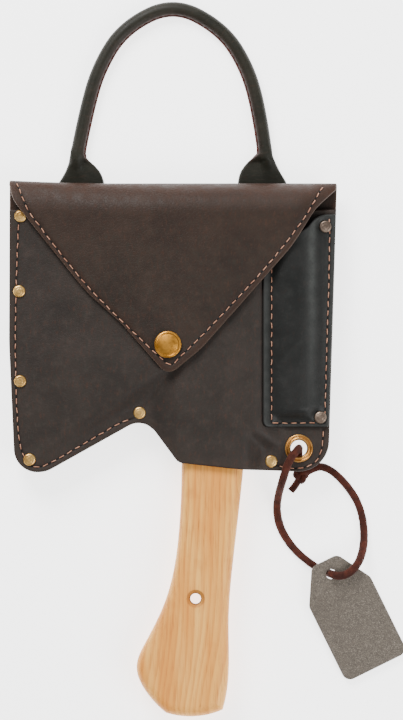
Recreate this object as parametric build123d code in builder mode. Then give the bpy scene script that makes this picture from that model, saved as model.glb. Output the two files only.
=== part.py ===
from build123d import *
import math
import os

os.makedirs("parts", exist_ok=True)

# A hatchet stored head down in a leather carrying case, lying on the case's back.
# +X runs across the case, from the cutting edge to the pocket side.
# +Y runs from the knob of the haft to the carry handle, and +Z is up from the floor.
# The origin is on the flat middle of the case's back. All sizes are in millimetres.

# ---- Driving dimensions: case -------------------------------------------------------
LEATHER = 3.0
MID_Z = 16.0                # height of the seams' middle plane, and of the axe's
ROOM = 13.0                 # half the clear depth of the case over the head
SEAM_HALF = 1.5             # half the thickness of the welts
CASE_TOP = 122.0
MOUTH_Y = 103.5             # top edge of the front panel, under the flap
BLADE_SEAM_X = -95.5        # the panels leave the blade seam here ...
BLADE_FULL_X = -12.0        # ... and have their full depth from here
SPINE_FULL_X = 57.0
SPINE_SEAM_X = 78.0
FAR = 400.0                 # longer than anything that is cut
HIGH = 60.0                 # above everything

CASE_CORNERS = [
    (-114.0, CASE_TOP), (-114.4, 10.0), (-110.3, -80.3), (-88.9, -80.3), (-20.0, -41.8),
    (3.5, -73.5), (47.0, -78.3), (109.0, -80.5), (115.2, CASE_TOP),
]
CASE_RADII = [0, 150, 16.5, 20, 13.5, 8, 200, 21.6, 0]

# The lower left seam runs up to the notch, beside the haft.
NOTCH_SEAM_START = (-91.0, -81.5)
NOTCH_SEAM_ANGLE = math.degrees(math.atan2(39.7, 71.0))
NOTCH_MARGIN = 9.0
NOTCH_RISE = 0.75

WELT_WIDTH = 13.0

# ---- Flap -----------------------------------------------------------------------------
FLAP_GAP = 0.4
FOLD_Z = 14.65              # height of the fold line that the flap turns about
FOLD_SPLIT = 0.15           # half the split between the flap and the back panel
FLAP_CORNERS = [
    (-114.6, CASE_TOP), (-111.8, 109.0), (-60.0, 45.5), (-36.0, 24.0), (-3.3, -13.0),
    (20.0, 6.0), (82.7, 76.9), (101.0, 104.5), (114.6, 117.5), (115.2, CASE_TOP),
]
FLAP_RADII = [0, 25, 90, 60, 8, 60, 90, 40, 3, 0]

# ---- Tool pocket -----------------------------------------------------------------------
POCKET_LEATHER = 2.5
POCKET_LEFT = 63.6
POCKET_SEAM = 70.0
POCKET_BOTTOM = -48.7
POCKET_MOUTH = 98.0
POCKET_CLOSE_Y = -42.0      # the pocket's clear depth ends here
POCKET_END_SLANT = 9.0
POCKET_CROWN = [(76.0, 27.8), (88.0, 28.4), (94.5, 27.4)]
POCKET_FOOT_X = 98.5
POCKET_CORNER_R = 4.0

# ---- Fasteners -------------------------------------------------------------------------
CAP_R = 4.4
CAP_H = 1.8
REAR_CAP_H = 1.2
POST_R = 1.6
POST_HOLE_R = 1.7
SEAM_RIVETS = [
    (-106.2, 98.9), (-107.2, 46.4), (-106.5, -16.5), (-100.0, -71.3), (-23.0, -38.6),
    (69.1, -72.5),
]
POCKET_RIVETS = [(106.9, 91.6), (103.4, -41.9)]

SNAP_AT = (-3.2, 9.2)
SNAP_CAP_R = 9.5
SNAP_CAP_H = 3.0
SOCKET_R = 5.6
SOCKET_HOLE_R = 5.7
SOCKET_BORE_R = 4.5
STUD_HEAD_R = 3.5
STUD_HEAD_H = 2.0
STUD_BASE_R = 5.0

EYELET_AT = (88.4, -63.5)
EYELET_R = 9.9
EYELET_BORE_R = 5.7
EYELET_WALL = 0.5
EYELET_LIP = 1.1

# ---- Carry handle -----------------------------------------------------------------------
HANDLE_R = 5.0
HANDLE_CORE_R = 2.6
TAB_STEP = 5.0              # the back panel steps up by this much over the tabs
TAB_THICK = 4.0
TAB_WIDTH = 31.3
TAB_BOTTOM = 103.0
TAB_FLAT_X = 84.0           # the back lies flat behind the tabs out to here
TAB_NECK_Y = 129.0          # the handle bends here
TAB_NECK_WIDTH = 23.0
TAB_CENTRES = [("carry_tab_left", -63.9), ("carry_tab_right", 62.8)]
TAB_NECK_ROUND = 1.2
TAB_CORNER_R = 6.0
NECK_SPLIT = 0.2            # half the split between a tab and the handle
ROLL_START_Y = 145.0
CORE_START_Y = 147.0
PAD_OVERLAP = 1.0
PAD_GAP = 0.05
HANDLE_ROUTE = [
    (-66.3, ROLL_START_Y), (-61.2, 171.0), (-52.3, 203.0), (-34.5, 231.5), (0.7, 249.0),
    (35.5, 230.5), (53.0, 203.0), (61.5, 171.0), (64.9, ROLL_START_Y),
]
TAB_RIVET_OFFSETS = [(-8.5, 108.0), (8.5, 108.0)]
TAB_REAR_CAP_H = 0.9
TAB_INNER_CAP_H = 1.2

# ---- Axe ----------------------------------------------------------------------------------
HEAD_HALF = 12.5
HEAD_TOP = 86.0
POLL_X = 56.0
EYE_SIDE_X = 2.0
EYE_BOTTOM = 30.0
EYE_LENGTH = 38.0
EYE_WIDTH = 17.0
EYE_X = 29.0
HAFT_THICK = 22.0
HAFT_ROUND = 7.0
HAFT_TOP = 89.0
BLADE_PROFILE = [
    (POLL_X, HEAD_HALF), (EYE_SIDE_X, HEAD_HALF), (-20.0, 8.2), (-60.0, 3.8), (-90.0, 1.3),
    (-99.0, 0.12),
]
LANYARD_AT = (16.2, -168.6)
LANYARD_R = 3.75
LANYARD_SINK_R = 6.3
WEDGE_DEPTH = 34.0

# ---- Lace and tag ---------------------------------------------------------------------------
LACE_R = 2.5
KNOT_AT = (89.6, -82.6, 5.0)
KNOT_R = 4.9
TAIL_END = (83.0, -93.4, 2.6)
TAIL_R = 2.4
LACE_ROUTE = [
    (89.2, -79.0, 5.2), (88.6, -71.5, 4.6), (88.4, -63.5, 4.6), (88.4, -63.5, 25.6),
    (81.4, -71.5, 26.4), (76.9, -86.3, 24.4), (74.3, -95.5, 10.0), (72.9, -105.0, 2.7),
    (74.2, -115.5, 2.7), (78.6, -125.5, 2.7), (86.4, -135.8, 2.7), (96.0, -143.8, 2.7),
    (104.0, -149.0, 2.7), (111.0, -151.6, 2.7), (111.0, -151.6, 12.6), (117.0, -153.4, 12.9),
    (124.4, -150.8, 12.7), (130.6, -143.6, 12.2), (133.6, -134.4, 6.2), (134.5, -124.6, 2.7),
    (133.2, -111.0, 2.7), (128.7, -98.6, 2.7), (120.6, -87.6, 2.7), (111.2, -78.6, 3.0),
    (101.2, -75.4, 4.0), (92.3, -81.0, 5.2),
]
LACE_BEND = 0.45            # share of the shorter run that each bend takes

TAG_HOLE_AT = (111.0, -151.6, 5.8)
TAG_DIRECTION = (0.4426, -0.8967)
TAG_HOLE_R = 3.6
TAG_THICK = 3.0
TAG_REACH = 73.0            # from the hole to the lower end
TAG_HEAD = 10.4             # from the hole to the upper end
TAG_HALF = 24.0
TAG_HEAD_HALF = 10.0
TAG_SHOULDER = 14.0
TAG_LIFT = 0.2              # the lower end's height over the floor


def about_middle(points):
    """Closed polygon points, symmetric about the case's middle plane."""
    upper = [(across, MID_Z + half) for across, half in points]
    lower = [(across, MID_Z - half) for across, half in reversed(points)]
    return upper + lower


def outline_prism(corners, radii, low, high):
    """Upright solid over a rounded outline, between two heights."""
    with BuildPart() as prism:
        with BuildSketch(Plane.XY.offset(low)):
            with BuildLine():
                FilletPolyline(*corners, radius=radii, close=True)
            make_face()
        extrude(amount=high - low)
    return prism.part


def box_between(low, high):
    """Plain box from its lowest and highest corners."""
    with BuildPart() as block:
        with BuildSketch(Plane.XY.offset(low[2])):
            with Locations(((low[0] + high[0]) / 2, (low[1] + high[1]) / 2)):
                Rectangle(high[0] - low[0], high[1] - low[1])
        extrude(amount=high[2] - low[2])
    return block.part


def case_lens(extra):
    """Solid bounded by the leather's inner faces (extra 0) or outer faces (extra LEATHER)."""
    seam = SEAM_HALF + extra
    full = ROOM + extra
    base = MID_Z - full
    top = CASE_TOP - LEATHER + extra
    rise = ROOM - SEAM_HALF
    seam_plane = Plane(
        origin=(*NOTCH_SEAM_START, 0),
        x_dir=Vector(1, 0, 0).rotate(Axis.Z, NOTCH_SEAM_ANGLE + 90),
        z_dir=Vector(1, 0, 0).rotate(Axis.Z, NOTCH_SEAM_ANGLE),
    )
    # Beside the notch the panels open away from the seam, and again towards the haft.
    with BuildPart() as notch_limit:
        with BuildSketch(seam_plane):
            Polygon(
                *about_middle([
                    (-FAR, seam), (NOTCH_MARGIN, seam),
                    (NOTCH_MARGIN + rise / NOTCH_RISE, full), (FAR, full),
                ]),
                align=None,
            )
        extrude(amount=FAR, both=True)
        with BuildSketch(Plane.XZ):
            Polygon(
                *about_middle([(-16.0, seam), (6.0, full), (FAR, full)]),
                align=None,
            )
        extrude(amount=FAR, both=True)
    # Below the pocket the panels close beside the haft.
    with BuildPart() as corner_limit:
        with BuildSketch(Plane.XZ):
            Polygon(
                *about_middle([(-FAR, full), (50.0, full), (64.0, seam), (FAR, seam)]),
                align=None,
            )
        extrude(amount=FAR, both=True)
        with BuildSketch(Plane.YZ):
            Polygon(*about_middle([(-64.0, seam), (-50.0, full), (FAR, full)]), align=None)
        extrude(amount=FAR, both=True)
    # Over the head the back lies flat from seam to seam, where the tabs are riveted to it.
    with BuildPart() as flat_top:
        with BuildSketch(Plane.XZ):
            Polygon(
                (-TAB_FLAT_X - 12.0, MID_Z), (-TAB_FLAT_X - 12.0, MID_Z - seam),
                (-TAB_FLAT_X, base), (TAB_FLAT_X, base), (TAB_FLAT_X + 12.0, MID_Z - seam),
                (TAB_FLAT_X + 12.0, MID_Z),
                align=None,
            )
        extrude(amount=FAR, both=True)
        with BuildSketch(Plane.YZ):
            Polygon(
                (92.0, MID_Z), (92.0, MID_Z - seam), (102.0, base), (FAR, base), (FAR, MID_Z),
                align=None,
            )
        extrude(amount=FAR, both=True, mode=Mode.INTERSECT)
    with BuildPart() as lens:
        with BuildSketch(Plane.XZ):
            Polygon(
                *about_middle([
                    (-FAR, seam), (BLADE_SEAM_X, seam), (BLADE_FULL_X, full),
                    (SPINE_FULL_X, full), (SPINE_SEAM_X, seam), (FAR, seam),
                ]),
                align=None,
            )
        extrude(amount=FAR, both=True)
        add(flat_top.part)
        with BuildSketch(Plane.YZ) as side:
            Polygon(
                (-FAR, base), (96.0, base), (101.0, base + TAB_STEP), (top, base + TAB_STEP),
                (top, FAR), (-FAR, FAR),
                align=None,
            )
            fold_corner = side.vertices().sort_by_distance((top, base + TAB_STEP))[0]
            fillet(fold_corner, radius=FOLD_Z - FOLD_SPLIT - base - TAB_STEP)
        extrude(amount=FAR, both=True, mode=Mode.INTERSECT)
        add(notch_limit.part, mode=Mode.INTERSECT)
        add(corner_limit.part, mode=Mode.INTERSECT)
    return lens.part


def flap_envelope(extra):
    """Solid under the flap's inner face (extra 0) or under its outer face (extra LEATHER)."""
    side_z = MID_Z + SEAM_HALF + LEATHER + 2.2 + extra
    flat_z = MID_Z + ROOM + LEATHER + FLAP_GAP + extra
    pocket_z = flat_z - 0.7
    edge_z = MID_Z + SEAM_HALF + LEATHER + POCKET_LEATHER + FLAP_GAP + extra
    top = CASE_TOP - LEATHER + extra
    with BuildPart() as envelope:
        with BuildSketch(Plane.XZ):
            Polygon(
                (-FAR, 0), (-FAR, side_z), (-100.0, side_z), (BLADE_FULL_X, flat_z),
                (SPINE_FULL_X, flat_z), (89.0, pocket_z), (95.5, pocket_z - 1.2),
                (101.5, edge_z), (FAR, edge_z), (FAR, 0),
                align=None,
            )
        extrude(amount=FAR, both=True)
        with BuildSketch(Plane.YZ) as side:
            Polygon((-FAR, 0), (top, 0), (top, flat_z), (-FAR, flat_z), align=None)
            fold_corner = side.vertices().sort_by_distance((top, flat_z))[0]
            fillet(fold_corner, radius=flat_z - FOLD_Z - FOLD_SPLIT)
        extrude(amount=FAR, both=True, mode=Mode.INTERSECT)
    return envelope.part


def post_holes(places):
    """Cylinders that cut clearance holes for rivet posts."""
    with BuildPart() as holes:
        with BuildSketch(Plane.XY):
            with Locations(*places):
                Circle(POST_HOLE_R)
        extrude(amount=FAR / 10)
    return holes.part


def eyelet_hole():
    """Cylinder that cuts the leather for the eyelet's barrel."""
    with BuildPart() as hole:
        with BuildSketch(Plane.XY):
            with Locations(EYELET_AT):
                Circle(EYELET_BORE_R + EYELET_WALL)
        extrude(amount=FAR / 10)
    return hole.part


case_outer = case_lens(LEATHER)
case_inner = case_lens(0)
case_outline = outline_prism(CASE_CORNERS, CASE_RADII, -5, HIGH)
all_rivet_holes = post_holes(SEAM_RIVETS + POCKET_RIVETS)
eyelet_cut = eyelet_hole()
SEAM_TOP = MID_Z + SEAM_HALF
SEAM_BOTTOM = MID_Z - SEAM_HALF
MARGIN_TOP = SEAM_TOP + LEATHER
MARGIN_BOTTOM = SEAM_BOTTOM - LEATHER
FRONT_Z = MID_Z + ROOM + LEATHER

# ---- Case panels -------------------------------------------------------------------------
tab_rivet_places = [
    (centre + dx, y)
    for name, centre in TAB_CENTRES
    for dx, y in TAB_RIVET_OFFSETS
]
tab_rivet_cut = post_holes(tab_rivet_places)

with BuildPart() as back_panel:
    add(case_outer)
    add(case_inner, mode=Mode.SUBTRACT)
    add(box_between((-FAR, -FAR, -5), (FAR, FAR, SEAM_BOTTOM)), mode=Mode.INTERSECT)
    add(case_outline, mode=Mode.INTERSECT)
    add(all_rivet_holes, mode=Mode.SUBTRACT)
    add(tab_rivet_cut, mode=Mode.SUBTRACT)
    add(eyelet_cut, mode=Mode.SUBTRACT)
back_panel.part.label = "back_panel"
export_step(back_panel.part, "parts/back_panel.step")

with BuildPart() as stud_hole:
    with BuildSketch(Plane.XY.offset(MID_Z)):
        with Locations(SNAP_AT):
            Circle(POST_R)
    extrude(amount=FAR / 10)

with BuildPart() as front_panel:
    add(case_outer)
    add(case_inner, mode=Mode.SUBTRACT)
    add(box_between((-FAR, -FAR, SEAM_TOP), (FAR, MOUTH_Y, HIGH)), mode=Mode.INTERSECT)
    add(case_outline, mode=Mode.INTERSECT)
    add(all_rivet_holes, mode=Mode.SUBTRACT)
    add(stud_hole.part, mode=Mode.SUBTRACT)
    add(eyelet_cut, mode=Mode.SUBTRACT)
front_panel.part.label = "front_panel"
export_step(front_panel.part, "parts/front_panel.step")


def welt_ring():
    """Strip of even width along the whole outline, between the panels."""
    with BuildPart() as ring:
        with BuildSketch(Plane.XY.offset(SEAM_BOTTOM)):
            with BuildLine():
                FilletPolyline(*CASE_CORNERS, radius=CASE_RADII, close=True)
            make_face()
            offset(amount=-WELT_WIDTH, kind=Kind.INTERSECTION, mode=Mode.SUBTRACT)
        extrude(amount=SEAM_TOP - SEAM_BOTTOM)
    return ring.part


welt_strip = welt_ring()

with BuildPart() as blade_edge_welt:
    add(welt_strip)
    add(box_between((-FAR, -FAR, 0), (-14.0, MOUTH_Y, HIGH)), mode=Mode.INTERSECT)
    add(all_rivet_holes, mode=Mode.SUBTRACT)
blade_edge_welt.part.label = "blade_edge_welt"
export_step(blade_edge_welt.part, "parts/blade_edge_welt.step")

with BuildPart() as spine_edge_welt:
    add(case_outline)
    add(box_between((76.0, -FAR, SEAM_BOTTOM), (FAR, -50.0, SEAM_TOP)), mode=Mode.INTERSECT)
    add(welt_strip)
    add(box_between((62.0, -FAR, 0), (FAR, MOUTH_Y, HIGH)), mode=Mode.INTERSECT)
    add(all_rivet_holes, mode=Mode.SUBTRACT)
    add(eyelet_cut, mode=Mode.SUBTRACT)
spine_edge_welt.part.label = "spine_edge_welt"
export_step(spine_edge_welt.part, "parts/spine_edge_welt.step")


# ---- Tool pocket ---------------------------------------------------------------------------
def front_height(x):
    """Height of the front panel's outer face beside the poll."""
    share = (x - SPINE_FULL_X) / (SPINE_SEAM_X - SPINE_FULL_X)
    share = min(max(share, 0), 1)
    return FRONT_Z - share * (ROOM - SEAM_HALF)


def pocket_lens(extra, close_y):
    """Solid under the pocket's inner face (extra 0) or outer face, closed below close_y."""
    with BuildPart() as lens:
        with BuildSketch(Plane.XZ):
            Polygon(
                (0, 0), (0, front_height(0) + extra), (SPINE_FULL_X, FRONT_Z + extra),
                (POCKET_SEAM, front_height(POCKET_SEAM) + extra),
                *[(x, z + extra) for x, z in POCKET_CROWN],
                (POCKET_FOOT_X, MARGIN_TOP + extra), (FAR, MARGIN_TOP + extra), (FAR, 0),
                align=None,
            )
        extrude(amount=FAR, both=True)
        with BuildSketch(Plane.YZ):
            Polygon(
                (close_y, 0), (close_y, MARGIN_TOP), (close_y + POCKET_END_SLANT, HIGH),
                (FAR, HIGH), (FAR, 0),
                align=None,
            )
        extrude(amount=FAR, both=True, mode=Mode.INTERSECT)
    return lens.part


def front_cover(extra):
    """Solid under a layer of leather that lies on the front panel beside the poll."""
    with BuildPart() as cover:
        with BuildSketch(Plane.XZ):
            Polygon(
                (0, 0), (0, FRONT_Z + extra), (SPINE_FULL_X, FRONT_Z + extra),
                (SPINE_SEAM_X, MARGIN_TOP + extra), (FAR, MARGIN_TOP + extra), (FAR, 0),
                align=None,
            )
        extrude(amount=FAR, both=True)
    return cover.part


pocket_corners = [
    (POCKET_LEFT, POCKET_MOUTH), (POCKET_LEFT, POCKET_BOTTOM), (FAR, POCKET_BOTTOM),
    (FAR, POCKET_MOUTH),
]

with BuildPart() as tool_pocket:
    add(pocket_lens(POCKET_LEATHER, POCKET_CLOSE_Y - POCKET_LEATHER))
    add(front_cover(POCKET_LEATHER))
    add(pocket_lens(0, POCKET_CLOSE_Y), mode=Mode.SUBTRACT)
    add(front_cover(0), mode=Mode.SUBTRACT)
    add(outline_prism(pocket_corners, [0, POCKET_CORNER_R, 0, 0], 0, HIGH), mode=Mode.INTERSECT)
    add(case_outline, mode=Mode.INTERSECT)
    add(all_rivet_holes, mode=Mode.SUBTRACT)
tool_pocket.part.label = "tool_pocket"
export_step(tool_pocket.part, "parts/tool_pocket.step")

# ---- Flap ------------------------------------------------------------------------------------
with BuildPart() as flap:
    add(flap_envelope(LEATHER))
    add(flap_envelope(0), mode=Mode.SUBTRACT)
    add(box_between((-FAR, -FAR, FOLD_Z + FOLD_SPLIT), (FAR, FAR, HIGH)), mode=Mode.INTERSECT)
    add(outline_prism(FLAP_CORNERS, FLAP_RADII, 0, HIGH), mode=Mode.INTERSECT)
    with BuildSketch(Plane.XY.offset(MID_Z)):
        with Locations(SNAP_AT):
            Circle(SOCKET_HOLE_R)
    extrude(amount=FAR / 10, mode=Mode.SUBTRACT)
flap.part.label = "flap"
export_step(flap.part, "parts/flap.step")


# ---- Rivets ----------------------------------------------------------------------------------
def domed_caps(places, base, height, radius):
    """Group of low domed caps that stand on one height."""
    with BuildPart() as caps:
        with BuildSketch(Plane.XY.offset(base)):
            with Locations(*places):
                Circle(radius)
        extrude(amount=height)
        fillet(caps.faces().sort_by(Axis.Z)[-len(places):].edges(), radius=height * 0.6)
    return caps.part


def posts_and_rear_caps(places, top):
    """Group of posts from the rear caps up to the underside of the front caps."""
    with BuildPart() as posts:
        with BuildSketch(Plane.XY.offset(MARGIN_BOTTOM - REAR_CAP_H)):
            with Locations(*places):
                Circle(CAP_R)
        extrude(amount=REAR_CAP_H)
        with BuildSketch(Plane.XY.offset(MARGIN_BOTTOM)):
            with Locations(*places):
                Circle(POST_R)
        extrude(amount=top - MARGIN_BOTTOM)
    return posts.part


with BuildPart() as seam_rivet_caps:
    add(domed_caps(SEAM_RIVETS, MARGIN_TOP, CAP_H, CAP_R))
seam_rivet_caps.part.label = "seam_rivet_caps"
export_step(seam_rivet_caps.part, "parts/seam_rivet_caps.step")

with BuildPart() as seam_rivet_posts:
    add(posts_and_rear_caps(SEAM_RIVETS, MARGIN_TOP))
seam_rivet_posts.part.label = "seam_rivet_posts"
export_step(seam_rivet_posts.part, "parts/seam_rivet_posts.step")

with BuildPart() as pocket_rivet_caps:
    add(domed_caps(POCKET_RIVETS, MARGIN_TOP + POCKET_LEATHER, CAP_H, CAP_R))
pocket_rivet_caps.part.label = "pocket_rivet_caps"
export_step(pocket_rivet_caps.part, "parts/pocket_rivet_caps.step")

with BuildPart() as pocket_rivet_posts:
    add(posts_and_rear_caps(POCKET_RIVETS, MARGIN_TOP + POCKET_LEATHER))
pocket_rivet_posts.part.label = "pocket_rivet_posts"
export_step(pocket_rivet_posts.part, "parts/pocket_rivet_posts.step")

# ---- Press stud --------------------------------------------------------------------------------
FLAP_UNDER = FRONT_Z + FLAP_GAP
FLAP_TOP = FLAP_UNDER + LEATHER

with BuildPart() as snap_cap:
    with BuildSketch(Plane.XY.offset(FLAP_TOP)):
        with Locations(SNAP_AT):
            Circle(SNAP_CAP_R)
    extrude(amount=SNAP_CAP_H)
    fillet(snap_cap.faces().sort_by(Axis.Z)[-1].edges(), radius=SNAP_CAP_H * 0.7)
snap_cap.part.label = "snap_cap"
export_step(snap_cap.part, "parts/snap_cap.step")

with BuildPart() as snap_socket:
    with BuildSketch(Plane.XY.offset(FLAP_UNDER)):
        with Locations(SNAP_AT):
            Circle(SOCKET_R)
    extrude(amount=LEATHER)
    with BuildSketch(Plane.XY.offset(FLAP_UNDER)):
        with Locations(SNAP_AT):
            Circle(SOCKET_BORE_R)
    extrude(amount=STUD_HEAD_H + 0.6, mode=Mode.SUBTRACT)
snap_socket.part.label = "snap_socket"
export_step(snap_socket.part, "parts/snap_socket.step")

with BuildPart() as snap_stud:
    with BuildSketch(Plane.XY.offset(FRONT_Z)):
        with Locations(SNAP_AT):
            Circle(STUD_HEAD_R)
    extrude(amount=STUD_HEAD_H)
    fillet(snap_stud.faces().sort_by(Axis.Z)[-1].edges(), radius=0.8)
snap_stud.part.label = "snap_stud"
export_step(snap_stud.part, "parts/snap_stud.step")

with BuildPart() as snap_stud_base:
    with BuildSketch(Plane.XY.offset(FRONT_Z - LEATHER - 1.0)):
        with Locations(SNAP_AT):
            Circle(STUD_BASE_R)
    extrude(amount=1.0)
    with BuildSketch(Plane.XY.offset(FRONT_Z - LEATHER)):
        with Locations(SNAP_AT):
            Circle(POST_R - 0.1)
    extrude(amount=LEATHER)
snap_stud_base.part.label = "snap_stud_base"
export_step(snap_stud_base.part, "parts/snap_stud_base.step")

# ---- Eyelet -------------------------------------------------------------------------------------
with BuildPart() as eyelet_barrel:
    with BuildSketch(Plane.XY.offset(MARGIN_BOTTOM)):
        with Locations(EYELET_AT):
            Circle(EYELET_BORE_R + EYELET_WALL)
            Circle(EYELET_BORE_R, mode=Mode.SUBTRACT)
    extrude(amount=MARGIN_TOP - MARGIN_BOTTOM)
    with BuildSketch(Plane.XY.offset(MARGIN_TOP)):
        with Locations(EYELET_AT):
            Circle(EYELET_R)
            Circle(EYELET_BORE_R, mode=Mode.SUBTRACT)
    extrude(amount=EYELET_LIP)
    fillet(eyelet_barrel.faces().sort_by(Axis.Z)[-1].edges(), radius=0.5)
eyelet_barrel.part.label = "eyelet_barrel"
export_step(eyelet_barrel.part, "parts/eyelet_barrel.step")

with BuildPart() as eyelet_washer:
    with BuildSketch(Plane.XY.offset(MARGIN_BOTTOM - 1.0)):
        with Locations(EYELET_AT):
            Circle(EYELET_R - 0.6)
            Circle(EYELET_BORE_R, mode=Mode.SUBTRACT)
    extrude(amount=1.0)
eyelet_washer.part.label = "eyelet_washer"
export_step(eyelet_washer.part, "parts/eyelet_washer.step")

# ---- Carry handle ---------------------------------------------------------------------------------
TAB_TOP = TAB_STEP
TAB_LOW = TAB_STEP - TAB_THICK

for tab_name, centre_x in TAB_CENTRES:
    half = TAB_WIDTH / 2
    neck = TAB_NECK_WIDTH / 2
    with BuildPart() as carry_tab:
        with BuildSketch(Plane.XY.offset(TAB_LOW)) as tab_shape:
            Polygon(
                (centre_x - half, TAB_BOTTOM), (centre_x + half, TAB_BOTTOM),
                (centre_x + half, CASE_TOP), (centre_x + neck, TAB_NECK_Y - NECK_SPLIT),
                (centre_x - neck, TAB_NECK_Y - NECK_SPLIT), (centre_x - half, CASE_TOP),
                align=None,
            )
            fillet(tab_shape.vertices().group_by(Axis.Y)[0], radius=TAB_CORNER_R)
        extrude(amount=TAB_THICK)
        with BuildSketch(Plane.XY):
            with Locations(*[(centre_x + dx, y) for dx, y in TAB_RIVET_OFFSETS]):
                Circle(POST_HOLE_R)
        extrude(amount=FAR / 10, mode=Mode.SUBTRACT)
    carry_tab.part.label = tab_name
    export_step(carry_tab.part, f"parts/{tab_name}.step")

with BuildPart() as carry_tab_rivets:
    with BuildSketch(Plane.XY.offset(TAB_LOW - TAB_REAR_CAP_H)):
        with Locations(*tab_rivet_places):
            Circle(CAP_R)
    extrude(amount=TAB_REAR_CAP_H)
    with BuildSketch(Plane.XY.offset(TAB_LOW)):
        with Locations(*tab_rivet_places):
            Circle(POST_R)
    extrude(amount=TAB_THICK + LEATHER)
    with BuildSketch(Plane.XY.offset(TAB_TOP + LEATHER)):
        with Locations(*tab_rivet_places):
            Circle(CAP_R)
    extrude(amount=TAB_INNER_CAP_H)
carry_tab_rivets.part.label = "carry_tab_rivets"
export_step(carry_tab_rivets.part, "parts/carry_tab_rivets.step")


def bend_radii(route, share):
    """Radius of each bend, from the shorter of its two runs and half of its turn."""
    radii = []
    for before, corner, after in zip(route, route[1:], route[2:]):
        run_in = Vector(corner) - Vector(before)
        run_out = Vector(after) - Vector(corner)
        half_turn = math.radians(run_in.get_angle(run_out)) / 2
        radii.append(share * min(run_in.length, run_out.length) / math.tan(half_turn))
    return radii


handle_route = [(x, y, HANDLE_R) for x, y in HANDLE_ROUTE]
handle_radii = bend_radii(handle_route, LACE_BEND)


def handle_rod(radius):
    """Round rod along the arch of the carry handle."""
    with BuildPart() as rod:
        with BuildLine() as route:
            FilletPolyline(*handle_route, radius=handle_radii)
        with BuildSketch(Plane(origin=route.line @ 0, z_dir=route.line % 0)):
            Circle(radius)
        sweep()
    return rod.part


def tab_pad(centre_x, roll_x):
    """Solid that draws the flat tab together into the round handle."""
    with BuildPart() as pad:
        with BuildSketch(Plane.XZ.offset(-(TAB_NECK_Y + NECK_SPLIT))):
            with Locations((centre_x, (TAB_LOW + TAB_TOP) / 2)):
                RectangleRounded(TAB_NECK_WIDTH, TAB_THICK, TAB_NECK_ROUND)
        with BuildSketch(Plane.XZ.offset(-(ROLL_START_Y + PAD_OVERLAP))):
            with Locations((roll_x, HANDLE_R)):
                Circle(HANDLE_R - PAD_GAP)
        loft()
    return pad.part


with BuildPart() as carry_handle_wrap:
    add(handle_rod(HANDLE_R))
    add(handle_rod(HANDLE_CORE_R), mode=Mode.SUBTRACT)
    add(tab_pad(TAB_CENTRES[0][1], HANDLE_ROUTE[0][0]))
    add(tab_pad(TAB_CENTRES[1][1], HANDLE_ROUTE[-1][0]))
carry_handle_wrap.part.label = "carry_handle_wrap"
export_step(carry_handle_wrap.part, "parts/carry_handle_wrap.step")

with BuildPart() as carry_handle_core:
    add(handle_rod(HANDLE_CORE_R))
    add(box_between((-FAR, CORE_START_Y, 0), (FAR, FAR, HIGH)), mode=Mode.INTERSECT)
carry_handle_core.part.label = "carry_handle_core"
export_step(carry_handle_core.part, "parts/carry_handle_core.step")

# ---- Axe head -----------------------------------------------------------------------------------------
with BuildPart() as axe_head:
    with BuildSketch(Plane.XY):
        with BuildLine():
            top_edge = Polyline((POLL_X, HEAD_TOP), (EYE_SIDE_X, HEAD_TOP))
            toe_curve = ThreePointArc(top_edge @ 1, (-48.0, 81.0), (-96.0, 84.0))
            cutting_edge = ThreePointArc(toe_curve @ 1, (-98.5, 11.0), (-92.0, -61.0))
            heel_curve = ThreePointArc(cutting_edge @ 1, (-41.0, -10.0), (EYE_SIDE_X - 6.0, EYE_BOTTOM))
            Polyline(heel_curve @ 1, (POLL_X, EYE_BOTTOM), (POLL_X, HEAD_TOP))
        make_face()
    extrude(amount=FAR / 10)
    with BuildSketch(Plane.XZ):
        Polygon(*about_middle(BLADE_PROFILE), align=None)
    extrude(amount=FAR, both=True, mode=Mode.INTERSECT)
    with BuildSketch(Plane.XZ) as eye_shape:
        with Locations((EYE_X, MID_Z)):
            RectangleRounded(EYE_LENGTH, EYE_WIDTH, EYE_WIDTH / 2 - 0.3)
    extrude(amount=FAR, both=True, mode=Mode.SUBTRACT)
axe_head.part.label = "axe_head"
export_step(axe_head.part, "parts/axe_head.step")

# ---- Haft and wedges ------------------------------------------------------------------------------------
with BuildPart() as wood_wedge_shape:
    with BuildSketch(Plane.YZ.offset(EYE_X)):
        Polygon(
            (HAFT_TOP, MID_Z - 2.4), (HAFT_TOP, MID_Z + 2.4),
            (HAFT_TOP - WEDGE_DEPTH, MID_Z + 0.4), (HAFT_TOP - WEDGE_DEPTH, MID_Z - 0.4),
            align=None,
        )
    extrude(amount=EYE_LENGTH / 2 - 3.0, both=True)

with BuildPart() as steel_wedge_shape:
    with BuildSketch(Plane.XY.offset(MID_Z)):
        Polygon(
            (EYE_X - 1.6, HAFT_TOP), (EYE_X + 1.6, HAFT_TOP),
            (EYE_X + 0.3, HAFT_TOP - 20.0), (EYE_X - 0.3, HAFT_TOP - 20.0),
            align=None,
        )
    extrude(amount=EYE_WIDTH / 2 - 2.0, both=True)

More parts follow.
